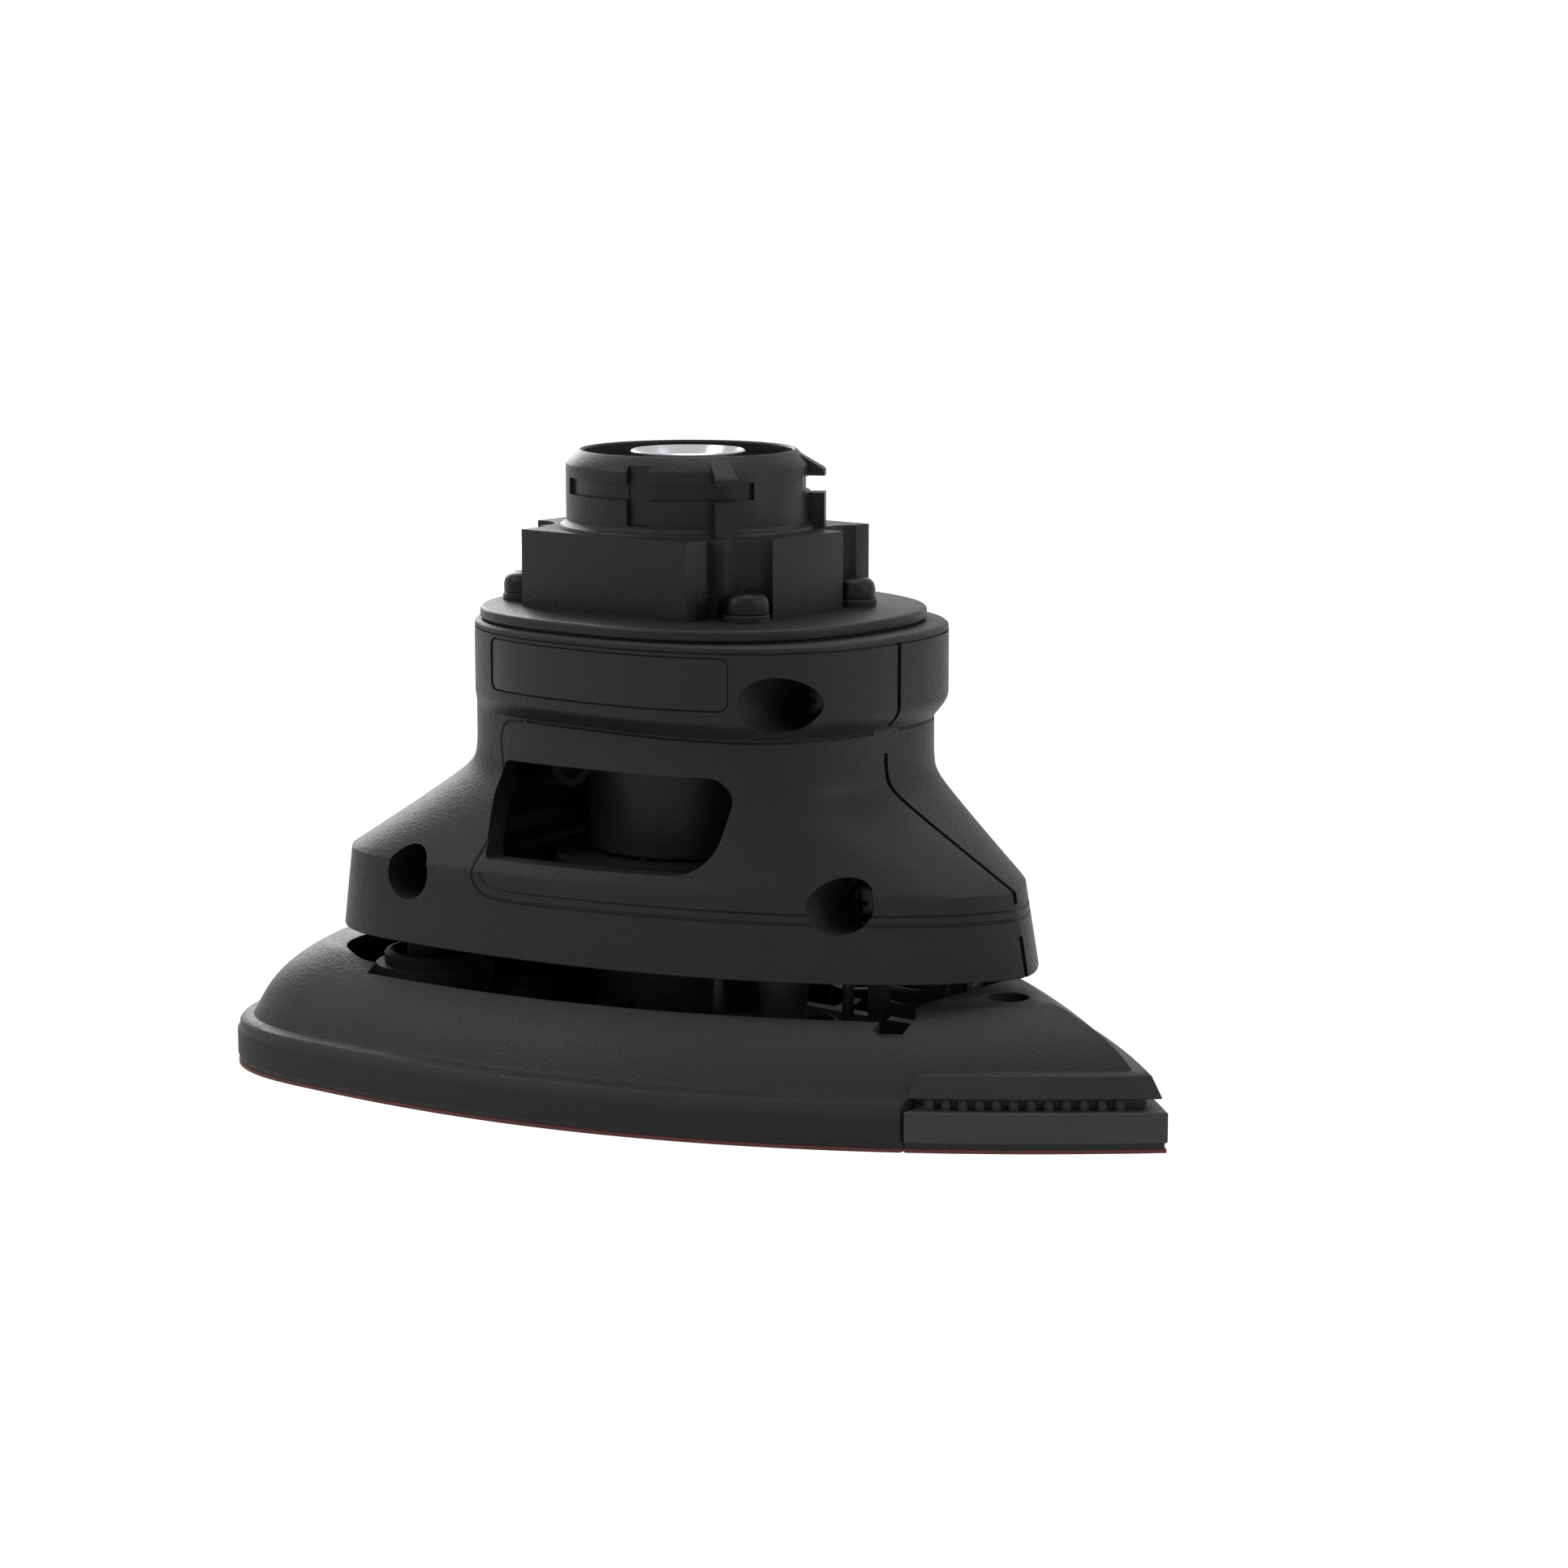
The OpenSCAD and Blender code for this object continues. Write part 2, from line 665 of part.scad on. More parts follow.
blade_count = 9;
module fan() {
    hub_r = inner_r + 3;
    disc_t = 1.5;
    ring_in = fan_d / 2 - 5;
    color("#2d2d2d") difference() {
        union() {
            post(hub_r, fan_z, fan_top);
            post(neck_r, fan_z, lower_z);
            post(fan_d / 2, fan_z, fan_z + disc_t);
            tube(fan_d / 2, ring_in, fan_top - 1, fan_top);
            for (i = [0 : blade_count - 1]) rotate(i * 360 / blade_count)
                translate([hub_r, 0, fan_z + disc_t - eps]) rotate(-20)
                    translate([1.2, -0.6, 0])
                    cube([fan_d / 2 - hub_r - 2.4, 1.2, fan_h - disc_t - 1 + 2 * eps]);
        }
        post(inner_r + press, fan_z - 1, lower_z + 1);
    }
}

module counterweight() {
    color("#7d7f82") difference() {
        union() {
            post(inner_r + 4, weight_z, fan_z);
            intersection() {
                post(weight_r, weight_z, fan_z);
                box(-weight_r - 1, -1.5, -weight_r, weight_r, weight_z, fan_z);
            }
        }
        post(inner_r + press, weight_z - 1, fan_z + 1);
    }
}

module crank_inner_race() {
    color("#b8bcc0") on_crank() inner_race(crank_z);
}

washer_t = 1;
module bolt_washer() {
    color("#9a9da1") on_crank()
        tube(inner_r + race_t, screw_r + 0.8, crank_z - washer_t, crank_z);
}

module platen_bolt() {
    hex_r = 3.8;
    color("#86898c") on_crank() {
        post(screw_r + 0.5, crank_z - washer_t - eps, crank_z + 6);
        difference() {
            translate([0, 0, crank_z - washer_t - 2.2]) cylinder(r = hex_r, h = 2.2);
            for (a = [0, 90]) rotate(a)
                translate([-hex_r * 0.5, -0.5, crank_z - washer_t - 3]) cube([hex_r, 1, 1.9]);
        }
    }
}

// ---- platen group
module crank_outer_race() {
    color("#b8bcc0") on_crank() outer_race(crank_z);
}

module crank_balls() {
    color("#d5d8da") on_crank() balls(crank_z);
}

module crank_circlip() {
    color("#8a8d91") on_crank() tube(outer_r, outer_r - race_t + 0.3, crank_top, crank_top + clip_t * 0.6);
}

washer_in = journal_flange_r + orbit + slip + 0.2;
module dust_washer() {
    color("#3a3a3a") on_crank()
        tube(outer_r, washer_in, crank_top + clip_t * 0.6, z_platen_top);
}

dome_steps = 6;
dome_edge = 2;       // ledge left around the foot of the dome
dome_foot = 2;       // height of the rim under the dome
dome_lean = 4.5;
dome_crown = 5;
// how far the dome has drawn in at share s of its height
function dome_in(s) = dome_edge + dome_lean * s + dome_crown * s * s * s;
// the open mouth under the housing
mouth_in = 8.7;      // from the platen's edge to the mouth's
mouth_back = 27;
mouth_front = 49;
mouth_end_r = 11.7;
rib_top = z_platen + 6.4;
low_cup = 3.4;       // height of the front cups
tall_cup = 6.8;      // height of the rear cups
cup_wall = 1.3;
cup_in = leg_r + 2.1;
cup_r = cup_in + cup_wall;
cup_floor = 1.4;
cup_z = leg_bottom - slip - cup_floor;
boss_out = outer_r + 2.6;
rib_t = 2;
tip_hole_x = 66;

dust_ring_r = 24;
function dust_places() =
    [for (a = [38, 90, 142], m = [-1, 1]) [dust_ring_r * cos(a), dust_ring_r * sin(a) * m]];

module dust_holes(r, z0, z1) {
    for (p = dust_places()) translate([p.x, p.y, 0]) post(r, z0, z1);
}

module dome(d, top) {
    loft(concat(
        [at(plan(inset(base_plan, d, tip_lead)), z_platen),
         at(plan(inset(base_plan, d + 0.4, tip_lead)), z_platen + dome_foot * 0.7),
         at(plan(inset(base_plan, d + dome_edge, tip_lead)), z_platen + dome_foot)],
        [for (i = [1 : dome_steps]) let (s = i / dome_steps)
            at(plan(inset(base_plan, d + dome_in(s), tip_lead)),
               z_platen + dome_foot + (top - z_platen - dome_foot) * s)]));
}

module front_cups() {
    on_crank() for (side = [-1, 1]) translate([leg_front_x, side * leg_front_y, 0]) children();
}

module rear_cups() {
    on_crank() for (side = [-1, 1]) translate([-leg_rear_x, side * leg_rear_y, 0]) children();
}

module mouth() {
    intersection() {
        slab(inset(base_plan, mouth_in, tip_lead), rib_top - 2, z_platen_top + 1);
        union() {
            box(-mouth_back, mouth_front, -base_half_w, base_half_w, rib_top - 3, z_platen_top + 2);
            rear_cups() post(mouth_end_r, rib_top - 3, z_platen_top + 2);
        }
    }
}

module cup_room() {
    post(cup_r + press, cup_z, z_platen_top + 1);
    post(cup_in - 2, z_platen - 1, cup_z + 1);
}

lip_z = tip_block_h + tooth_gap;
module platen() {
    color("#3a3a3a") difference() {
        union() {
            difference() {
                dome(0.2, z_platen_top);
                translate([0, 0, -eps]) dome(platen_wall + 0.2, z_platen_top - platen_wall);
                mouth();
            }
            intersection() {
                loft([at(plan(inset(base_plan, 0.6, tip_lead)), lip_z),
                      at(plan(inset(base_plan, 1.9, tip_lead)), lip_z + lip_h)]);
                box(tip_start + 0.6, tip_reach + 5, -base_half_w, base_half_w, 0, z_platen_top);
            }
            on_crank() post(boss_out, z_platen, z_platen_top - eps);
            front_cups() post(cup_r + 1.2, z_platen, rib_top);
            rear_cups() post(cup_r + 1.2, z_platen, rib_top + low_cup);
            box(-rear_reach + 9, tip_start, -rib_t / 2, rib_t / 2, z_platen, rib_top);
            box(-rib_t / 2, rib_t / 2, -base_half_w + 6, base_half_w - 6, z_platen, rib_top - 1);
            tube(dust_ring_r + 1, dust_ring_r - 1, z_platen, rib_top - 1);
            translate([tip_hole_x, 0, 0]) post(screw_r + 1.6, lip_z, lip_z + lip_h);
            dust_holes(dust_r + 1.4, z_platen, rib_top);
        }
        // clear of the tip holder
        box(tip_start - 0.1, tip_reach + 5, -base_half_w, base_half_w, 0, lip_z);
        on_crank() {
            post(outer_r + press, crank_z, z_platen_top + 1);
            post(outer_r - race_t, z_platen - 1, crank_z + 1);
        }
        front_cups() cup_room();
        rear_cups() cup_room();
        dust_holes(dust_r, z_platen - 1, z_platen_top + 1);
        translate([front_hole_x, 0, 0]) post(dust_r, z_platen_top - platen_wall - 2, z_platen_top + 1);
        translate([tip_hole_x, 0, 0]) post(screw_r + press, lip_z - 1, lip_z + lip_h - 0.6);
    }
}

module cup(h) {
    difference() {
        post(cup_r, cup_z, cup_z + h);
        post(cup_in, cup_z + cup_floor, cup_z + h + 1);
    }
}

module leg_cups() {
    color("#1e1e1e") {
        front_cups() cup(low_cup);
        rear_cups() cup(tall_cup);
    }
}

// Flat layers under the platen, with the dust holes and a way to the bolt
module layer(z0, z1, d, open_centre) {
    difference() {
        slab(inset(base_plan, d, tip_lead), z0, z1);
        box(tip_start, tip_reach + 5, -base_half_w, base_half_w, z0 - 1, z1 + 1);
        dust_holes(dust_r, z0 - 1, z1 + 1);
        if (open_centre) on_crank() post(outer_r - race_t, z0 - 1, z1 + 1);
    }
}

module platen_pad() {
    color("#3d3d3d") layer(z_pad, z_platen, 0, true);
}

module hook_layer() {
    color("#2f2f2f") layer(z_hook, z_pad, 0.3, true);
}

module abrasive_sheet() {
    color("#6b2a1d") layer(0, z_hook, 0.1, false);
}

// ---- detachable tip
tip_clear = 0.5;
module tip_slab(d, z0, z1) {
    intersection() {
        slab(inset(base_plan, d, tip_lead), z0, z1);
        box(tip_start + tip_clear, tip_reach + 5, -base_half_w, base_half_w, z0 - 1, z1 + 1);
    }
}

tooth_r = 0.7;
tooth_rows = floor((tip_reach - tip_start - 6) / tooth_pitch);
module teeth() {
    o = inset(base_plan, 2.4, tip_lead);
    for (i = [1 : tooth_rows]) let (x = tip_start + i * tooth_pitch, y = front_y(o, (x - o[0]) / o[2]))
        for (m = [-1, 1]) if (y > 1) translate([x, m * y, 0]) post(tooth_r, tip_block_h - eps, lip_z - 0.1);
}

module tip_holder() {
    head_r = screw_head_r + 0.3;
    color("#424242") difference() {
        union() {
            tip_slab(0, z_pad, tip_block_h);
            tip_slab(2.4, tip_block_h - eps, lip_z - 0.1);
            teeth();
        }
        translate([tip_hole_x, 0, 0]) {
            post(head_r, z_pad - 1, z_pad + 2.2);
            post(screw_r + 0.15, z_pad, lip_z + 1);
        }
    }
}

module tip_screw() {
    color("#8f9296") translate([tip_hole_x, 0, z_pad + 2.2]) rotate([180, 0, 0])
        pan_screw(screw_head_r, 1.8, screw_r, lip_z + lip_h - 0.8 - z_pad - 2.2);
}

module tip_hook_layer() {
    color("#2f2f2f") difference() {
        tip_slab(0.3, z_hook, z_pad);
        translate([tip_hole_x, 0, 0]) post(screw_head_r + 0.3, 0, z_pad + 1);
    }
}

module tip_abrasive() {
    color("#6b2a1d") tip_slab(0.1, 0, z_hook);
}

adapter_housing();
adapter_screws();
flange_gasket();
right_shell();
left_shell();
rating_plate();
shell_screws();
dust_outlet();
bearing_carrier();
carrier_circlip();
upper_outer_race();
upper_balls();
lower_outer_race();
lower_balls();
support_legs();
leg_pins();
spindle();
drive_coupling();
coupling_pin();
shaft_circlip();
upper_inner_race();
lower_inner_race();
bearing_spacer();
fan();
counterweight();
crank_inner_race();
platen_bolt();
bolt_washer();
crank_outer_race();
crank_balls();
crank_circlip();
dust_washer();
platen();
leg_cups();
platen_pad();
hook_layer();
abrasive_sheet();
tip_holder();
tip_screw();
tip_hook_layer();
tip_abrasive();
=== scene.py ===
"""Detail sanding head: the looks of the part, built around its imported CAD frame."""

import json
import math

import bpy
from bpy.props import FloatProperty, FloatVectorProperty, PointerProperty
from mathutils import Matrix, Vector


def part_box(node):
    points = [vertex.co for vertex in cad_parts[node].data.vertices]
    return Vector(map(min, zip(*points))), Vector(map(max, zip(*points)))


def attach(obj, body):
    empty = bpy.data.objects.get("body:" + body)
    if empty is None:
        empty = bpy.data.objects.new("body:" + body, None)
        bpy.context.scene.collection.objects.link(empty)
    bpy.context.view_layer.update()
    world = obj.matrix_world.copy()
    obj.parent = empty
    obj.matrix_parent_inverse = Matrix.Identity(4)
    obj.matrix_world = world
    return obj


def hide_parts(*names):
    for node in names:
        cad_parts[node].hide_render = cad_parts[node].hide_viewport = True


bl_info = {
    "name": "Detail sanding head",
    "version": (1, 0, 0),
    "blender": (4, 5, 0),
    "location": "3D View > Sidebar > Sander",
    "description": "Models and finishes an orbital detail sanding head around its CAD frame",
    "category": "Add Mesh",
}

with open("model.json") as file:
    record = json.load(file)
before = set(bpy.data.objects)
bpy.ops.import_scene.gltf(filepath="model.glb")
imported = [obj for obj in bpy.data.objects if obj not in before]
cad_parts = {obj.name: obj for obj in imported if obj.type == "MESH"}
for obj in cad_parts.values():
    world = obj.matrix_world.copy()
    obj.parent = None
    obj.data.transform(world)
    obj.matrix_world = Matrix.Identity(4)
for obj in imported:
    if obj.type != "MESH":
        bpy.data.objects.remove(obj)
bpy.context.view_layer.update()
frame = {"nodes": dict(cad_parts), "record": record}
MM = 0.001


# ---- sizes, in millimetres, read from the frame where it has them
def low(node):
    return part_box(node)[0] / MM


def high(node):
    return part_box(node)[1] / MM


Z_HOOK = low("hook_layer").z
Z_PAD = low("platen_pad").z
Z_PLATEN = high("platen_pad").z
Z_PLATEN_TOP = high("platen").z
Z_SKIRT = low("right_shell").z
Z_SHELL_TOP = high("right_shell").z
Z_FLANGE = low("adapter_housing").z
Z_COLLAR_TOP = high("adapter_housing").z
Z_LEG, Z_LEG_TOP = low("support_legs").z, high("support_legs").z
TIP_X = high("platen_pad").x
TIP_BLOCK_TOP = 5.4
LIP_Z, LIP_H = 7.0, 3.1
SKIRT_H, BELL_H, FLARE_H = 11.2, 15.3, 3.2
Z_CREASE = Z_SKIRT + SKIRT_H
Z_NECK = Z_CREASE + BELL_H
Z_FLARE = Z_NECK + 4.3
Z_BAND = Z_FLARE + FLARE_H
Z_FLANGE_TOP = Z_FLANGE + 2.1
Z_BLOCK_TOP = Z_COLLAR_TOP - 10.7
ORBIT = 0.8
WALL = 2.0
TIP_LEAD = 1.5
LEGS = [(30, 16), (-28, 23.5)]
DUST_RING = [(24 * math.cos(math.radians(a)), 24 * math.sin(math.radians(a)))
             for a in (38, 90, 142, -38, -90, -142)]
DUST_R = 2.8
TIP_HOLE = (66, 0)
OUTLET_Z = Z_CREASE + BELL_H * 0.68
# shell screws run along Y: x, z and depth of the head from the split plane
SHELL_SCREWS = [(30.9, 55.8, 10.2), (41.0, 30.1, 11.8), (-21.3, 29.7, 24)]
RECESS_R = 3.7
ADAPTER_SCREWS = [(sx * 20, sy * 11.6) for sx in (-1, 1) for sy in (-1, 1)]

# plan outlines: widest x, rear length, front length, half width, rear power, front p, front q
BASE = (-30, 29, 110.8, 45.8, 3, 2.3, 1)
SKIRT = (-22, 22, 80.3, 35.6, 3, 2, 1.6)
CREASE = (-22, 20.9, 78.1, 34.5, 3, 2, 1.6)
NECK = (0, 28.5, 34.7, 23.8, 3, 3, 3)
BAND = (0, 28.3, 36.9, 28.5, 2.3, 2.5, 2.5)
FLANGE = (0, 26.4, 33.0, 27.6, 2.5, 2.5, 2.5)
QUARTER = 60


def plan(o):
    """One outline as points, anticlockwise from its front point."""
    turn = [math.pi / 2 * i / QUARTER for i in range(QUARTER + 1)]
    half = [(o[0] + o[2] * s, o[3] * max(0.0, 1 - s ** o[5]) ** (1 / o[6]))
            for s in (math.cos(a) for a in turn[:-1])]
    half += [(o[0] - o[1] * s, o[3] * max(0.0, 1 - s ** o[4]) ** (1 / o[4]))
             for s in (math.sin(a) for a in turn)]
    return half + [(x, -y) for x, y in half[-2:0:-1]]


def inset(o, d, lead=1.0):
    return (o[0], o[1] - d, o[2] - d * lead, o[3] - d) + tuple(o[4:])


def mix(a, b, t):
    return [(p[0] * t + q[0] * (1 - t), p[1] * t + q[1] * (1 - t)) for p, q in zip(a, b)]


def bell(z):
    """Share of the crease outline at height z on the concave slope."""
    h = (Z_NECK - z) / BELL_H
    if h >= 1 or h <= 0:
        return max(0.0, min(1.0, h))
    m = (h - 0.24) / 0.76
    return (m + math.sqrt(m * m + 4 * 0.055 ** 2)) / 2 * min(1, h / 0.24)


def housing_plan(z, d=0.0):
    """The housing's outline at height z, drawn in by d."""
    if z <= Z_CREASE:
        return mix(plan(inset(CREASE, d)), plan(inset(SKIRT, d)), (z - Z_SKIRT) / SKIRT_H)
    if z <= Z_NECK:
        return mix(plan(inset(CREASE, d)), plan(inset(NECK, d)), bell(z))
    if z <= Z_FLARE:
        return plan(inset(NECK, d))
    if z <= Z_BAND:
        return mix(plan(inset(BAND, d)), plan(inset(NECK, d)), (z - Z_FLARE) / FLARE_H)
    return plan(inset(BAND, d))


# ---- making and joining meshes
def pick(*objects):
    bpy.ops.object.select_all(action="DESELECT")
    for o in objects:
        o.select_set(True)
    bpy.context.view_layer.objects.active = objects[0]


def place(o):
    """Moves an object's place, turn and size into its mesh."""
    pick(o)
    bpy.ops.object.transform_apply(location=True, rotation=True, scale=True)
    return o


def from_points(name, points, faces, edges=()):
    mesh = bpy.data.meshes.new(name)
    mesh.from_pydata([Vector(p) * MM for p in points], edges, faces)
    o = bpy.data.objects.new(name, mesh)
    bpy.context.scene.collection.objects.link(o)
    return o


def loft(name, levels):
    """A closed skin through (z, outline) levels with the same number of points."""
    n = len(levels[0][1])
    points = [(x, y, z) for z, outline in levels for x, y in outline]
    faces = [(k * n + i, k * n + (i + 1) % n, (k + 1) * n + (i + 1) % n, (k + 1) * n + i)
             for k in range(len(levels) - 1) for i in range(n)]
    faces += [tuple(range(n - 1, -1, -1)), tuple((len(levels) - 1) * n + i for i in range(n))]
    return from_points(name, points, faces)


def prism(name, outline, z0, z1, along="Z"):
    """An outline pushed from z0 to z1; along Y it is read as (x, z)."""
    o = loft(name, [(z0, outline), (z1, outline)])
    if along == "Y":
        o.rotation_euler.x = math.pi / 2
        o.location.y = (z0 + z1) * MM
        place(o)
    return o


def slab(name, o, z0, z1):
    return prism(name, plan(o), z0, z1)


def box(name, x0, x1, y0, y1, z0, z1):
    bpy.ops.mesh.primitive_cube_add(size=1, location=(
        (x0 + x1) / 2 * MM, (y0 + y1) / 2 * MM, (z0 + z1) / 2 * MM))
    o = bpy.context.object
    o.name = name
    o.scale = ((x1 - x0) * MM, (y1 - y0) * MM, (z1 - z0) * MM)
    return place(o)


def post(name, x, y, r, z0, z1, r_top=None, sides=64):
    bpy.ops.mesh.primitive_cone_add(
        vertices=sides, radius1=r * MM, radius2=(r if r_top is None else r_top) * MM,
        depth=(z1 - z0) * MM, location=(x * MM, y * MM, (z0 + z1) / 2 * MM))
    o = bpy.context.object
    o.name = name
    return place(o)


def rod(name, x, z, r, y0, y1, axis="Y"):
    """A cylinder along Y at (x, z), or along X at (y, z)."""
    middle = (y0 + y1) / 2 * MM
    at = (x * MM, middle, z * MM) if axis == "Y" else (middle, x * MM, z * MM)
    turn = (math.pi / 2, 0, 0) if axis == "Y" else (0, math.pi / 2, 0)
    bpy.ops.mesh.primitive_cylinder_add(
        vertices=64, radius=r * MM, depth=(y1 - y0) * MM, location=at, rotation=turn)
    o = bpy.context.object
    o.name = name
    return place(o)


def lathe(name, profile, steps=128):
    """A closed (radius, z) profile spun about the Z axis."""
    n = len(profile)
    o = from_points(name, [(r, 0, z) for r, z in profile], [], [(i, (i + 1) % n) for i in range(n)])
    pick(o)
    bpy.ops.object.mode_set(mode="EDIT")
    bpy.ops.mesh.select_all(action="SELECT")
    bpy.ops.mesh.spin(steps=steps, angle=2 * math.pi, center=(0, 0, 0), axis=(0, 0, 1))
    bpy.ops.mesh.select_all(action="SELECT")
    bpy.ops.mesh.remove_doubles(threshold=1e-6)
    bpy.ops.mesh.delete_loose()
    bpy.ops.mesh.select_all(action="SELECT")
    bpy.ops.mesh.normals_make_consistent(inside=False)
    bpy.ops.object.mode_set(mode="OBJECT")
    return o


def sector(name, start, span, r0, r1, z0, z1):
    """Part of a ring, from angle start through span degrees."""
    turn = [math.radians(start + span * i / 48) for i in range(49)]
    outline = [(r1 * math.cos(a), r1 * math.sin(a)) for a in turn]
    outline += [(r0 * math.cos(a), r0 * math.sin(a)) for a in reversed(turn)]
    return prism(name, outline, z0, z1)


def apply_modifier(o, kind, **settings):
    modifier = o.modifiers.new(kind, kind)
    for key, value in settings.items():
        setattr(modifier, key, value)
    pick(o)
    bpy.ops.object.modifier_apply(modifier=modifier.name)


def combine(o, others, how):
    for other in others:
        apply_modifier(o, "BOOLEAN", operation=how, solver="MANIFOLD", object=other)
        bpy.data.objects.remove(other)
    return o


def cut(o, *cutters):
    return combine(o, cutters, "DIFFERENCE")


def join(o, *others):
    return combine(o, others, "UNION")


def keep(o, *others):
    return combine(o, others, "INTERSECT")


def soften(o, width, segments=2, angle=40):
    """Rounds the edges that turn by more than the angle."""
    apply_modifier(o, "BEVEL", width=width * MM, segments=segments, limit_method="ANGLE",
                   angle_limit=math.radians(angle), harden_normals=False,
                   use_clamp_overlap=True)
    return o


def copy_of(o, name, mirror_y=False, by=(0, 0, 0)):
    twin = bpy.data.objects.new(name, o.data.copy())
    bpy.context.scene.collection.objects.link(twin)
    twin.location = Vector(by) * MM
    if mirror_y:
        twin.scale.y = -1
    place(twin)
    if mirror_y:
        bpy.ops.object.mode_set(mode="EDIT")
        bpy.ops.mesh.select_all(action="SELECT")
        bpy.ops.mesh.normals_make_consistent(inside=False)
        bpy.ops.object.mode_set(mode="OBJECT")
    return twin


def merge(objects, name):
    """Makes one piece of several separate solids."""
    pick(*objects)
    if len(objects) > 1:
        bpy.ops.object.join()
    objects[0].name = name
    return objects[0]


def rounded(corners, steps=10):
    """An outline whose corners (x, y, radius) are rounded."""
    outline = []
    for i, (x, y, r) in enumerate(corners):
        here = Vector((x, y))
        before = Vector(corners[i - 1][:2]) - here
        after = Vector(corners[(i + 1) % len(corners)][:2]) - here
        half = before.angle(after) / 2
        middle = here + (before.normalized() + after.normalized()).normalized() * (r / math.sin(half))
        start = here + before.normalized() * (r / math.tan(half)) - middle
        sweep = start.angle_signed(here + after.normalized() * (r / math.tan(half)) - middle)
        for k in range(steps + 1):
            turned = start.copy()
            a = -sweep * k / steps
            turned.x = start.x * math.cos(a) - start.y * math.sin(a)
            turned.y = start.x * math.sin(a) + start.y * math.cos(a)
            outline.append(tuple(middle + turned))
    return outline


def near_wall(x, z):
    """The y of the housing's near wall at x and z."""
    outline = housing_plan(z)
    lower = outline[len(outline) // 2:] + outline[:1]
    for (x0, y0), (x1, y1) in zip(lower, lower[1:]):
        if x0 <= x <= x1:
            return y0 + (y1 - y0) * (x - x0) / (x1 - x0 or 1)
    return 0.0


def wall_groove(name, path, r, side):
    """A thin tube along (x, z) points of the housing's wall, to cut a line with."""
    spaced = []
    for (x0, z0), (x1, z1) in zip(path, path[1:]):
        n = max(1, int(math.hypot(x1 - x0, z1 - z0) / 0.7))
        spaced += [(x0 + (x1 - x0) * i / n, z0 + (z1 - z0) * i / n) for i in range(n)]
    spaced.append(path[-1])
    curve = bpy.data.curves.new(name, "CURVE")
    curve.dimensions = "3D"
    curve.bevel_depth = r * MM
    curve.bevel_resolution = 1
    curve.use_fill_caps = True
    spline = curve.splines.new("POLY")
    spline.points.add(len(spaced) - 1)
    for point, (x, z) in zip(spline.points, spaced):
        point.co = (x * MM, -side * near_wall(x, z) * MM, z * MM, 1)
    o = bpy.data.objects.new(name, curve)
    bpy.context.scene.collection.objects.link(o)
    pick(o)
    bpy.ops.object.convert(target="MESH")
    o = bpy.context.object
    bpy.ops.object.mode_set(mode="EDIT")
    bpy.ops.mesh.select_all(action="SELECT")
    bpy.ops.mesh.remove_doubles(threshold=1e-6)
    bpy.ops.mesh.normals_make_consistent(inside=False)
    bpy.ops.object.mode_set(mode="OBJECT")
    return o


def smooth_path(points, steps=6):
    """A soft curve through (x, z) points."""
    path = []
    ends = [points[0]] + list(points) + [points[-1]]
    for a, b, c, d in zip(ends, ends[1:], ends[2:], ends[3:]):
        for k in range(steps):
            t = k / steps
            path.append(tuple(
                0.5 * (2 * b[i] + (c[i] - a[i]) * t + (2 * a[i] - 5 * b[i] + 4 * c[i] - d[i]) * t ** 2
                       + (3 * b[i] - a[i] - 3 * c[i] + d[i]) * t ** 3) for i in (0, 1)))
    return path + [tuple(points[-1])]


# ---- finishes
def linear(rgb):
    """sRGB, as a hex string or three shares, to the linear colour a shader reads."""
    if isinstance(rgb, str):
        rgb = [int(rgb[i:i + 2], 16) / 255 for i in (1, 3, 5)]
    return tuple(c / 12.92 if c <= 0.04045 else ((c + 0.055) / 1.055) ** 2.4 for c in rgb) + (1.0,)


def add_node(tree, kind, settings=None, **links):
    """Adds a shader node; a link is a socket of another node, anything else is a value."""
    node = tree.nodes.new("ShaderNode" + kind)
    for key, value in (settings or {}).items():
        setattr(node, key, value)
    for key, value in links.items():
        socket = node.inputs[key.replace("_", " ")]
        if isinstance(value, bpy.types.NodeSocket):
            tree.links.new(value, socket)
        else:
            socket.default_value = value
    return node


def new_material(name):
    material = bpy.data.materials.new(name)
    material.use_nodes = True
    material.node_tree.nodes.clear()
    return material, material.node_tree


def per_mm(size):
    """A pattern scale, in cells a metre, for a cell of this size in millimetres."""
    return 1000 / size


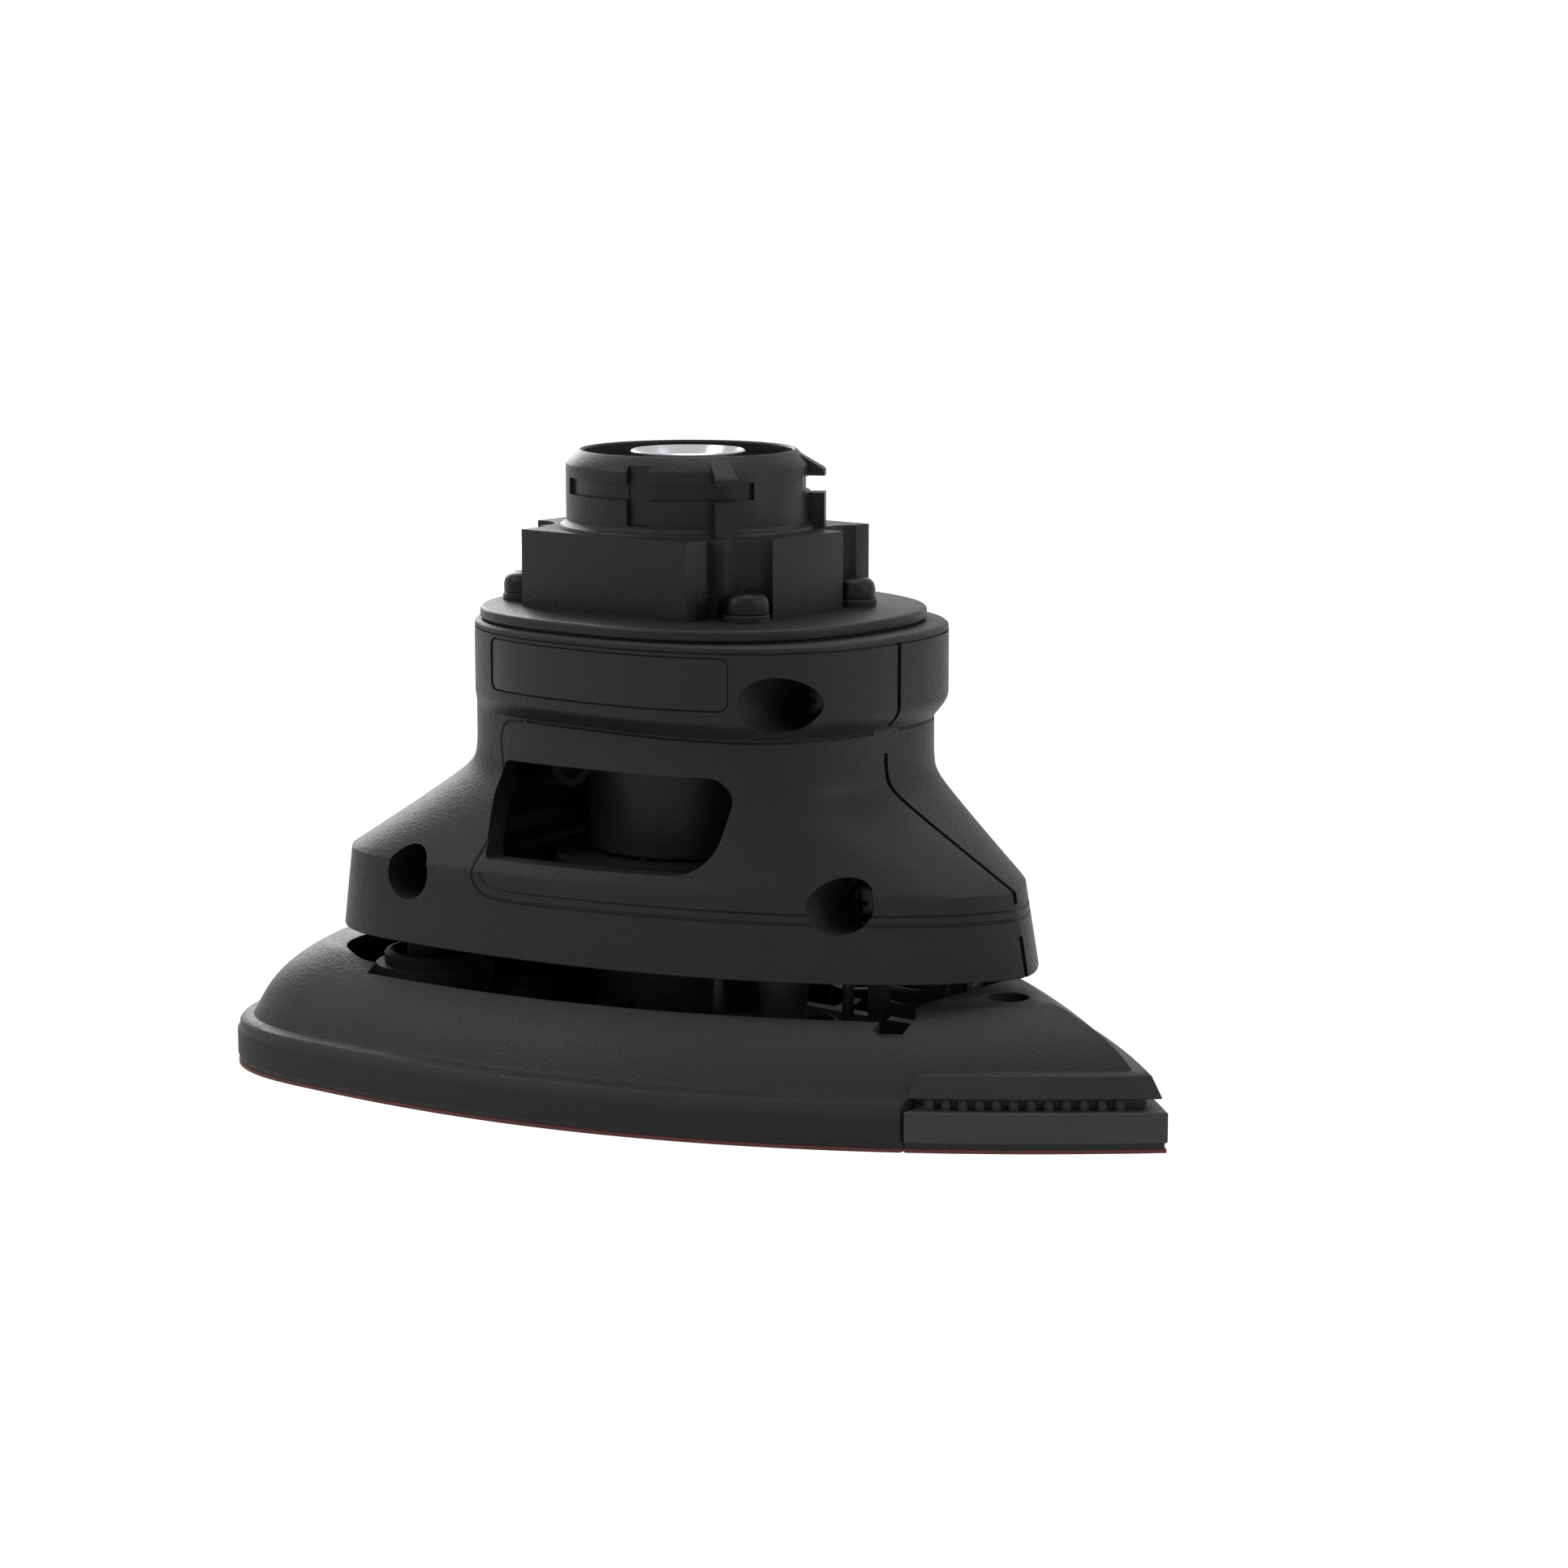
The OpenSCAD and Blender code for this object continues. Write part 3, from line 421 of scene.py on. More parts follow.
def moulded(name, colour, roughness, grain=0.5, depth=0.02, spread=0.12, shine=0.2):
    """A moulded plastic or rubber: spark-eroded grain, faint cloudiness and uneven gloss."""
    material, tree = new_material(name)
    at = add_node(tree, "TexCoord").outputs["Object"]
    cloud = add_node(tree, "TexNoise", Vector=at, Scale=per_mm(14), Detail=4.0, Roughness=0.6)
    cells = add_node(tree, "TexVoronoi", {"feature": "SMOOTH_F1"}, Vector=at,
                     Scale=per_mm(grain), Smoothness=0.6)
    fine = add_node(tree, "TexNoise", Vector=at, Scale=per_mm(grain * 0.45), Detail=2.0)
    relief = add_node(tree, "Math", {"operation": "MULTIPLY_ADD"})
    tree.links.new(fine.outputs["Fac"], relief.inputs[0])
    relief.inputs[1].default_value = 0.5
    tree.links.new(cells.outputs["Distance"], relief.inputs[2])
    base = linear(colour)
    tint = add_node(tree, "ValToRGB")
    tree.links.new(cloud.outputs["Fac"], tint.inputs["Fac"])
    for stop, (place_at, share) in zip(tint.color_ramp.elements, ((0.3, 1 - spread), (0.7, 1 + spread))):
        stop.position = place_at
        stop.color = tuple(c * share for c in base[:3]) + (1.0,)
    gloss = add_node(tree, "MapRange", Value=cells.outputs["Distance"])
    gloss.inputs["To Min"].default_value = roughness - 0.06
    gloss.inputs["To Max"].default_value = roughness + 0.08
    bump = add_node(tree, "Bump", Height=relief.outputs[0], Strength=1.0, Distance=depth * MM)
    shader = add_node(tree, "BsdfPrincipled", Base_Color=tint.outputs["Color"],
                      Roughness=gloss.outputs["Result"], IOR=1.5, Specular_IOR_Level=shine,
                      Normal=bump.outputs["Normal"])
    add_node(tree, "OutputMaterial", Surface=shader.outputs["BSDF"])
    return material


def metal(name, colour, roughness, lay="turned", metallic=1.0):
    """A bare or plated metal: turned rings, or the fine pits of a casting or a pressing."""
    material, tree = new_material(name)
    at = add_node(tree, "TexCoord").outputs["Object"]
    if lay == "turned":
        # tool marks run round the axis, so they change quickly with height and radius
        lines = add_node(tree, "TexWave", {"wave_type": "RINGS", "rings_direction": "Z"}, Vector=at,
                         Scale=per_mm(0.35) / 6.28, Distortion=1.5, Detail=2.0)
        height, depth = lines.outputs["Fac"], 0.004
    else:
        height = add_node(tree, "TexNoise", Vector=at, Scale=per_mm(0.5), Detail=3.0).outputs["Fac"]
        depth = 0.015
    cloud = add_node(tree, "TexNoise", Vector=at, Scale=per_mm(4), Detail=3.0)
    gloss = add_node(tree, "MapRange", Value=cloud.outputs["Fac"])
    gloss.inputs["To Min"].default_value = roughness - 0.07
    gloss.inputs["To Max"].default_value = roughness + 0.1
    bump = add_node(tree, "Bump", Height=height, Strength=0.5, Distance=depth * MM)
    shader = add_node(tree, "BsdfPrincipled", Base_Color=linear(colour), Metallic=metallic,
                      Roughness=gloss.outputs["Result"], Normal=bump.outputs["Normal"])
    add_node(tree, "OutputMaterial", Surface=shader.outputs["BSDF"])
    return material


def gritty(name, colour, dark, grit=0.28):
    """Coated abrasive: sharp grains in a coloured bond."""
    material, tree = new_material(name)
    at = add_node(tree, "TexCoord").outputs["Object"]
    grains = add_node(tree, "TexVoronoi", Vector=at, Scale=per_mm(grit))
    tint = add_node(tree, "ValToRGB")
    tree.links.new(grains.outputs["Distance"], tint.inputs["Fac"])
    for stop, (place_at, shade) in zip(tint.color_ramp.elements, ((0.15, colour), (0.75, dark))):
        stop.position = place_at
        stop.color = linear(shade)
    bump = add_node(tree, "Bump", {"invert": True}, Height=grains.outputs["Distance"], Strength=0.9,
                    Distance=0.12 * MM)
    shader = add_node(tree, "BsdfPrincipled", Base_Color=tint.outputs["Color"], Roughness=0.62,
                      Normal=bump.outputs["Normal"])
    add_node(tree, "OutputMaterial", Surface=shader.outputs["BSDF"])
    return material


def fibrous(name, colour, light, thread=0.5):
    """Hook tape or felt: matted loops that scatter light at the edge."""
    material, tree = new_material(name)
    at = add_node(tree, "TexCoord").outputs["Object"]
    strands = add_node(tree, "TexNoise", Vector=at, Scale=per_mm(thread), Detail=6.0, Roughness=0.7,
                       Distortion=1.2)
    tint = add_node(tree, "ValToRGB")
    tree.links.new(strands.outputs["Fac"], tint.inputs["Fac"])
    for stop, (place_at, shade) in zip(tint.color_ramp.elements, ((0.35, colour), (0.7, light))):
        stop.position = place_at
        stop.color = linear(shade)
    bump = add_node(tree, "Bump", Height=strands.outputs["Fac"], Strength=0.8, Distance=0.15 * MM)
    shader = add_node(tree, "BsdfPrincipled", Base_Color=tint.outputs["Color"], Roughness=0.9,
                      Sheen_Weight=0.3, Sheen_Roughness=0.5, Normal=bump.outputs["Normal"])
    add_node(tree, "OutputMaterial", Surface=shader.outputs["BSDF"])
    return material


MATERIALS = {}


def material_for(slot):
    """The finish of one of the record's material slots, made when first asked for."""
    if not MATERIALS:
        look = bpy.context.scene.sander_finishes
        MATERIALS.update({
            # glass-filled nylon, moulded in a spark-eroded tool: matt with a leathery grain
            "housing_plastic": moulded("glass_filled_nylon_moulded", look.housing, 0.5, 0.5, 0.05),
            # the same nylon from a tool with a finer grain, so its edges catch a little more light
            "adapter_plastic": moulded("nylon_moulded_fine", look.adapter, 0.44, 0.42, 0.035),
            # warm grey polyester film with a satin overlaminate
            "label_foil": moulded("polyester_film_satin", look.label, 0.36, 1.2, 0.004, 0.05),
            # steel screws, blackened in hot oxide: dark, with a low sheen
            "black_screw": metal("steel_black_oxide", look.screw, 0.38, "pressed", 0.85),
            # through-hardened bearing steel, ground and lapped
            "bearing_steel": metal("bearing_steel_ground", "#c4c6c8", 0.16),
            # free-cutting steel, turned and left bare
            "machined_steel": metal("mild_steel_turned", "#a9abad", 0.28),
            # the drive coupling is plated, so it stays bright in its collar
            "coupling_steel": metal("steel_nickel_plated", look.coupling, 0.2),
            # pressure-cast zinc: dull, with a pebbly skin
            "zinc_casting": metal("zinc_pressure_cast", "#8b8d90", 0.45, "cast"),
            "fan_plastic": moulded("nylon_moulded_fan", "#2b2b2b", 0.42, 0.6, 0.01),
            # vulcanised rubber: even, dry and without sparkle
            "elastic_rubber": moulded("rubber_vulcanised", "#181818", 0.62, 0.8, 0.02, 0.08),
            "felt": fibrous("wool_felt_pressed", "#2c2c2c", "#4a4a48"),
            # the platen moulding is a shade lighter than the housing
            "platen_plastic": moulded("nylon_moulded_platen", look.platen, 0.5, 0.5, 0.06),
            # closed-cell foam, skived smooth, with its cells just open at the cut
            "pad_foam": moulded("foam_closed_cell_cut", look.pad, 0.66, 0.35, 0.03, 0.08),
            "hook_fabric": fibrous("hook_tape_woven", "#222222", "#3c3b3a", 0.4),
            "abrasive_grit": gritty("aluminium_oxide_coated_paper", look.grit, "#2f120c"),
            "tip_plastic": moulded("nylon_moulded_tip", look.tip, 0.5, 0.45, 0.035),
        })
    return MATERIALS[slot]


def finish_piece(o, slot, body, *nodes, angle=32):
    """Smooths a finished piece, gives it its finish and ties it to the frame."""
    pick(o)
    bpy.ops.object.shade_smooth_by_angle(angle=math.radians(angle))
    o.data.materials.clear()
    o.data.materials.append(material_for(slot))
    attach(o, body)
    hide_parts(*nodes)
    return o


def crisp_ridge(o, x_from):
    """Keeps the nose ridge sharp, though its two sides meet at a shallow angle."""
    points = o.data.vertices
    for edge in o.data.edges:
        if all(abs(points[i].co.y) < 0.005 * MM and points[i].co.x > x_from * MM for i in edge.vertices):
            edge.use_edge_sharp = True


# ---- what a user can set
class SanderSizes(bpy.types.PropertyGroup):
    seam: FloatProperty(
        name="Seam", description="Gap between the two housing shells", default=0.76, min=0.1, max=1.0)
    line: FloatProperty(
        name="Line", description="Radius of the lines cut into the housing", default=0.24, min=0.1, max=0.5)
    edge: FloatProperty(
        name="Edge radius", description="Rounding of the adapter's moulded edges", default=0.5,
        min=0.1, max=1.0)
    tooth: FloatProperty(
        name="Tooth radius", description="Radius of the teeth under the nose lip", default=0.75,
        min=0.4, max=1.0)


def colour_property(name, text, shade):
    return FloatVectorProperty(
        name=name, description=text, subtype="COLOR_GAMMA", size=3, min=0, max=1,
        default=tuple(int(shade[i:i + 2], 16) / 255 for i in (1, 3, 5)))


class SanderFinishes(bpy.types.PropertyGroup):
    housing: colour_property("Housing", "Colour of the two housing shells", "#1f1f1f")
    adapter: colour_property("Adapter", "Colour of the adapter with its collar", "#1b1b1b")
    label: colour_property("Rating plate", "Colour of the blank rating plate", "#221f1d")
    screw: colour_property("Screws", "Colour of the blackened screws", "#1a1a1a")
    coupling: colour_property("Coupling", "Colour of the plated drive coupling", "#b4b6b8")
    platen: colour_property("Platen", "Colour of the platen moulding", "#2d2d2d")
    tip: colour_property("Tip", "Colour of the detachable tip holder", "#434343")
    pad: colour_property("Pad", "Colour of the cushion pad", "#2a2a2a")
    grit: colour_property("Abrasive", "Colour of the abrasive sheets", "#7a3120")


# ---- housing
RIM_TOP = Z_SHELL_TOP + 0.7  # the rim stands round the adapter's spigot
RIM_LINE = Z_SHELL_TOP - 0.25  # a shadow line runs round the band just under its rim


def outer_levels():
    """Levels of the housing's outside, with a line just under the rim and rounded rims; the line under the
    flare is cut in build_shell.
    """
    levels = [(Z_SKIRT, plan(inset(SKIRT, 0.35))),
              (Z_SKIRT + 0.12, plan(inset(SKIRT, 0.12))),
              (Z_SKIRT + 0.35, housing_plan(Z_SKIRT + 0.35))]
    levels += [(z, housing_plan(z)) for z in (Z_CREASE - 3, Z_CREASE)]
    levels += [(z, housing_plan(z)) for z in (Z_CREASE + BELL_H * i / 34 for i in range(1, 35))]
    levels += [(Z_NECK + 2, plan(NECK)), (Z_FLARE, plan(NECK))]
    # the flare swells out of the neck and rolls over into the upright band
    for i in range(1, 9):
        t = i / 8
        levels.append((Z_FLARE + (Z_BAND - Z_FLARE) * t,
                       mix(plan(BAND), plan(NECK), math.sin(t * math.pi / 2) ** 1.15)))
    top = RIM_TOP
    levels += [(RIM_LINE - 0.15, plan(BAND)), (RIM_LINE - 0.12, plan(inset(BAND, 0.3))),
               (RIM_LINE + 0.12, plan(inset(BAND, 0.3))), (RIM_LINE + 0.15, plan(inset(BAND, 0.02))),
               (top - 0.45, plan(inset(BAND, 0.06))), (top - 0.32, plan(inset(BAND, 0.1))),
               (top - 0.06, plan(inset(BAND, 0.4))), (top, plan(inset(BAND, 0.55)))]
    return levels


def hollow_levels():
    drop = WALL * 0.8
    neck, crease = plan(inset(NECK, WALL)), plan(inset(CREASE, WALL, TIP_LEAD))
    levels = [(Z_SKIRT - 1, plan(inset(SKIRT, WALL, TIP_LEAD))), (Z_CREASE - drop, crease)]
    levels += [(z - drop, mix(crease, neck, bell(z)))
               for z in (Z_CREASE + BELL_H * i / 16 for i in range(1, 17))]
    band = plan(inset(BAND, WALL))
    return levels + [(Z_FLARE, neck), (Z_BAND + drop / 2, band), (Z_SHELL_TOP - 2.5, band)]


PANEL_EDGE = [(-9.4, 50.5), (-13.2, 49.9), (-14.5, 47.8), (-14.2, 45), (-12.8, 42), (-10.8, 39),
              (-9.6, 35.5), (-9.8, 32.2), (-9.6, 30), (-7.8, 28.4), (-4.6, 27.7)]
WINDOW = [(-8.4, 32.8, 0.9), (24.6, 33.0, 5.2), (25.4, 45.7, 3.6), (-14.0, 44.7, 1.2), (-13.4, 41.2, 6),
          (-10.6, 36.6, 8)]


def build_shell(side):
    """One housing shell: side -1 is the near one, with the screw recesses and the plate."""
    sizes = bpy.context.scene.sander_sizes
    seam = sizes.seam / 2
    name = "housing_shell_near" if side < 0 else "housing_shell_far"
    far = -90 * side
    o = loft(name, outer_levels())
    cut(o, loft("hollow", hollow_levels()))
    cut(o, slab("spigot_room", inset(FLANGE, 0.4), Z_SHELL_TOP, RIM_TOP + 1))
    cut(o, box("half", -90, 90, *sorted((0, far)), 0, 90))
    for z0, z1 in ((0, Z_CREASE - 5.7), (Z_CREASE - 1.5, Z_FLARE - 3.2), (Z_FLARE + 0.6, RIM_LINE)):
        cut(o, box("seam", -60, 90, *sorted((seam * side, -side)), z0, z1))
    outside = keep(loft("outside", outer_levels()), box("side", -90, 90, *sorted((0.4 * side, -far)), 0, 90))
    cut(outside, post("fan_room", 0, 0, 20.25, 0, Z_BAND))
    cups = []
    for x, z, head in SHELL_SCREWS:
        o = join(o, rod("boss", x, z, 2.6, *sorted((seam * side, side * (head + (2 if side < 0 else -1))))))
        wall = RECESS_R + 1.5 if side < 0 else 3.4
        start = head - 1.5
        cups.append(keep(rod("cup", x, z, wall, *sorted((start * side, 60 * side))),
                         copy_of(outside, "outside_copy")))
    bpy.data.objects.remove(outside)
    join(o, *cups)
    for x, y in LEGS:
        y *= side
        if x > 0:
            # two slim stop pins and a web stand beside the front leg
            join(o, *[post("pin", x + 8.6 * m * 0.776, y - 8.6 * m * 0.63 * side, 0.8, 13.4, Z_LEG_TOP + 1,
                           sides=24) for m in (-1, 1)],
                 box("pin_rib", x - 7.2, x + 7.2, *sorted((y + 2 * side, y + 5 * side)),
                     Z_SKIRT + 1, Z_LEG_TOP),
                 box("web", x + 9.2, x + 12.2, *sorted((y - 6.4 * side, y - 7.4 * side)), 13.8, Z_LEG_TOP),
                 box("web_rib", x + 5, x + 12.2, *sorted((y - 8 * side, y - 4 * side)),
                     Z_SKIRT + 1, Z_LEG_TOP))
        join(o, post("leg_boss", x, y, 5.1, Z_SKIRT + 1, Z_LEG_TOP + 1.5),
             box("rib", x - 1, x + 1, *sorted((y, y + side * (7.4 if x > 0 else 9))), Z_SKIRT + 1, Z_LEG_TOP))
        cut(o, post("leg_hole", x, y, 3.62, Z_SKIRT - 1, Z_LEG_TOP))
    for x, y in ADAPTER_SCREWS:
        if y * side > 0:
            join(o, post("boss", x, y, 3.5, Z_SHELL_TOP - 14, Z_SHELL_TOP - 2.4))
            cut(o, post("bore", x, y, 1.52, Z_SHELL_TOP - 12.5, Z_SHELL_TOP + 1, sides=32))
    cut(o, post("carrier_room", 0, 0, 16.6, Z_SHELL_TOP - 3.5, Z_SHELL_TOP + 1))
    cut(o, prism("window", rounded(WINDOW), *sorted((15.1 * side, 46 * side)), along="Y"))
    for x, z, head in SHELL_SCREWS:
        depth = head + 3 if side < 0 else head - 3
        cut(o, rod("screw_hole", x, z, 1.52, *sorted((-side, depth * side))))
        if side < 0:
            cut(o, rod("recess", x, z, RECESS_R, *sorted((head * side, 60 * side))))
            cut(o, rod("recess_lead", x, z, RECESS_R + 0.25, *sorted((60 * side, 60.1 * side))))
    cut(o, rod("outlet_bore", 0, OUTLET_Z, 4.62, -60, 0, axis="X"))
    cut(o, box("outlet_seat", -54, -30.98, -6.52, 6.52, OUTLET_Z - 4.62, Z_FLARE))
    cut(o, *[wall_groove("panel_line", path, sizes.line, side) for path in (
        smooth_path(PANEL_EDGE) + [(x, 27.7) for x in range(-2, 57, 3)] + [(57.4, 27.7)],
        smooth_path([(-8.6, 31.2), (-7.6, 29.9), (-5.4, 29.1), (-2.4, 28.9)])
        + [(x, 28.9) for x in range(1, 56, 3)] + [(56.8, 28.9)],
        [(x, Z_FLARE - 0.3) for x in range(-9, 33, 3)] + [(34.2, Z_FLARE - 0.3), (34.68, Z_FLARE - 0.3)])])
    if side < 0:
        frame_cut = prism("plate_seat", rounded([(-13, 54.9, 1.3), (26.2, 54.9, 1.3), (26.2, 62.1, 1.3),
                                                 (-13, 62.1, 1.3)]), -40, -5, along="Y")
        cut(frame_cut, slab("plate_floor", inset(BAND, 0.55), 50, 70))
        cut(o, frame_cut)
    return o


class SANDER_OT_shells(bpy.types.Operator):
    """Models the two housing shells with their window, recesses and lines"""

    bl_idname = "sander.shells"
    bl_label = "Housing shells"

    def execute(self, context):
        finish_piece(build_shell(-1), "housing_plastic", "housing", "right_shell")
        finish_piece(build_shell(1), "housing_plastic", "housing", "left_shell")
        return {"FINISHED"}


class SANDER_OT_plate(bpy.types.Operator):
    """Models the blank rating plate, which follows the band"""

    bl_idname = "sander.plate"
    bl_label = "Rating plate"

    def execute(self, context):
        o = prism("rating_plate_blank", rounded([
            (-12.8, 55.1, 1.1), (26.0, 55.1, 1.1), (26.0, 61.9, 1.1), (-12.8, 61.9, 1.1)]),
            -40, -5, along="Y")
        keep(o, slab("plate_face", inset(BAND, 0.17), 50, 70))
        cut(o, slab("plate_back", inset(BAND, 0.53), 49, 71))
        finish_piece(o, "label_foil", "housing", "rating_plate")
        return {"FINISHED"}


# ---- screws
def pan_screw(name, length, head_r=2.75, head_h=1.8):
    """A pan-head screw with a cross recess, its seat at z 0 and its head up."""
    r, h = head_r, head_h
    o = lathe(name, [(0, -length), (1.25, -length), (1.5, -length + 0.4), (1.5, 0), (r - 0.1, 0),
                     (r, 0.12), (r, h * 0.45), (r * 0.94, h * 0.7), (r * 0.8, h * 0.88),
                     (r * 0.55, h * 0.98), (0, h)], 48)
    slot = [(-0.42, -r * 0.6), (0.42, -r * 0.6), (0.3, r * 0.6), (-0.3, r * 0.6)]
    for turn in (0, math.pi / 2):
        blade = loft("blade", [(h * 0.3, [(x * 0.6, y * 0.5) for x, y in slot]), (h + 1, slot)])
        blade.rotation_euler.z = turn
        cut(o, place(blade))
    return o


class SANDER_OT_screws(bpy.types.Operator):
    """Models the cross-headed screws of the housing and the adapter"""

    bl_idname = "sander.screws"
    bl_label = "Screws"

    def execute(self, context):
        shell = []
        for x, z, head in SHELL_SCREWS:
            o = pan_screw("shell_screw", 2 * head - 4)
            o.rotation_euler = (math.pi / 2, 0, 0)
            o.location = (x * MM, -head * MM, z * MM)
            shell.append(place(o))
        finish_piece(merge(shell, "shell_screws_cross"), "black_screw", "housing", "shell_screws")
        adapter = []
        for i, (x, y) in enumerate(ADAPTER_SCREWS):
            o = pan_screw("adapter_screw", 14, 3.05, 2.9)
            o.rotation_euler.z = 0.5 + 1.1 * i
            o.location = (x * MM, y * MM, (Z_FLANGE_TOP + 1.0) * MM)
            adapter.append(place(o))
        finish_piece(merge(adapter, "adapter_screws_cross"), "black_screw", "housing", "adapter_screws")
        return {"FINISHED"}


# ---- adapter
class SANDER_OT_adapter(bpy.types.Operator):
    """Models the adapter: flange, cross block and bayonet collar"""

    bl_idname = "sander.adapter"
    bl_label = "Adapter"

    def execute(self, context):
        edge = context.scene.sander_sizes.edge
        z0, z1, z2, z3 = Z_FLANGE, Z_FLANGE_TOP, Z_BLOCK_TOP, Z_COLLAR_TOP
        # a thin plate covers the rim, and a spigot under it drops inside
        o = loft("adapter_moulding", [
            (z1 - 1.5, plan(inset(FLANGE, 0.15))), (z1 - 1.35, plan(FLANGE)), (z1 - 0.5, plan(FLANGE)),
            (z1 - 0.25, plan(inset(FLANGE, 0.07))), (z1 - 0.08, plan(inset(FLANGE, 0.24))),
            (z1, plan(inset(FLANGE, 0.5)))])
        join(o, slab("spigot", inset(FLANGE, 0.7), z0, z1 - 1))
        block = box("bar_y", -14.8, 14.8, -18, 18, z1 - 1, z2)
        # the bar along Y reaches further forward on the far side
        join(block, box("bar_far", 0, 17.7, 5, 18, z1 - 1, z2),
             box("bar_x", -21.3, 21.3, -8.3, 8.3, z1 - 1, z2),
             box("core", -18.9, 18.9, -13, 13, z1 - 1, z2))
        cut(block, *[post("pocket", x, y, 4.2, z1 - 2, z2 + 1) for x, y in ADAPTER_SCREWS])
        soften(block, edge, 3, 50)
        join(o, block)
        seat = [(0, z1 - 1), (3.2, z1 - 1), (3.2, z1 + 0.85), (3.05, z1 + 1), (0, z1 + 1)]
        join(o, *[lathe_at("seat", seat, x, y) for x, y in ADAPTER_SCREWS])
        join(o, lathe("collar", [
            (0, z2 - 1), (17.9, z2 - 1), (17.9, z2 + 0.1), (17.7, z2 + 0.45), (17.2, z2 + 0.7),
            (16.9, z2 + 1.1),
            (16.9, z3 - 2.0), (16.8, z3 - 1.8), (15.15, z3 - 0.15), (14.95, z3), (0, z3)]))
        for m in (1, -1):
            fin = lathe("fin", [(14, z2 - 1), (19.1, z2 - 1), (19.1, z3 - 2.8), (18.9, z3 - 2.5),
                                (14.8, z3 - 0.1), (14, z3 - 0.1)])
            start = 33.7 - 4.85 if m > 0 else -33.7 - 4.85
            join(o, keep(fin, sector("wedge", start, 9.7, 10, 25, z2 - 2, z3 + 1)))
        for start, span, floor, a, b in ((17.9, 105.6, 16.3, z2 + 4.9, z2 + 7.2),
                                         (67.9, 11, 16.1, z2 + 1.4, z3 + 1)):
            cut(o, sector("groove", start, span, floor, 26, a, b),
                sector("groove", -start - span, span, floor, 26, a, b))
        cut(o, lathe("bore", [(0, z2 - 4), (14.35, z2 - 4), (14.55, z2 - 3.8), (14.55, z3 - 0.25),
                              (14.8, z3 + 0.05), (14.8, z3 + 1), (0, z3 + 1)]),
            post("coupling_room", 0, 0, 8.7, z0 - 1, z2 - 3),
            *[post("screw_way", x, y, 1.65, z0 - 1, z2, sides=32) for x, y in ADAPTER_SCREWS])
        finish_piece(o, "adapter_plastic", "housing", "adapter_housing")
        return {"FINISHED"}


def lathe_at(name, profile, x, y, steps=48):
    o = lathe(name, profile, steps)
    o.location = (x * MM, y * MM, 0)
    return place(o)


class SANDER_OT_outlet(bpy.types.Operator):
    """Models the dust outlet at the back and the four elastic legs"""

    bl_idname = "sander.outlet_and_legs"
    bl_label = "Outlet and legs"

    def execute(self, context):
        o = box("dust_outlet_block", -34, -31, -6.5, 6.5, OUTLET_Z - 4.6, OUTLET_Z + 4.4)
        soften(o, 0.8, 3)
        join(o, rod("spigot", 0, OUTLET_Z, 4.6, -31.5, -22, axis="X"))
        cut(o, rod("bore", 0, OUTLET_Z, 3.4, -36, -10, axis="X"))
        finish_piece(o, "housing_plastic", "housing", "dust_outlet")
        legs = []
        for x, y in LEGS:
            for side in (-1, 1):
                leg = lathe_at("leg", [
                    (0, Z_LEG), (2.9, Z_LEG), (3.3, Z_LEG + 0.2), (3.55, Z_LEG + 0.8), (3.2, Z_LEG + 2.6),
                    (3.2, Z_LEG + 5.6), (3.6, Z_LEG + 7), (3.6, Z_LEG_TOP), (1.25, Z_LEG_TOP),
                    (1.25, Z_LEG_TOP - 6), (0, Z_LEG_TOP - 6)], x, y * side, 64)
                legs.append(leg)
        finish_piece(merge(legs, "elastic_legs"), "elastic_rubber", "housing", "support_legs")
        return {"FINISHED"}


# ---- platen and its layers
MOUTH_IN = 8.7  # the open mouth under the housing starts this far in from the platen's edge


def dome_levels(d, top):
    levels = [(Z_PLATEN, plan(inset(BASE, d, TIP_LEAD))),
              (Z_PLATEN + 1.1, plan(inset(BASE, d + 0.15, TIP_LEAD))),
              (Z_PLATEN + 1.55, plan(inset(BASE, d + 0.5, TIP_LEAD))),
              (Z_PLATEN + 1.8, plan(inset(BASE, d + 1.2, TIP_LEAD))),
              (Z_PLATEN + 1.95, plan(inset(BASE, d + 1.9, TIP_LEAD)))]
    foot = Z_PLATEN + 2
    for i in range(1, 33):
        s = i / 32
        levels.append((foot + (top - foot) * s,
                       plan(inset(BASE, d + 2 + 4.5 * s + 5 * s ** 3, TIP_LEAD))))
    return levels


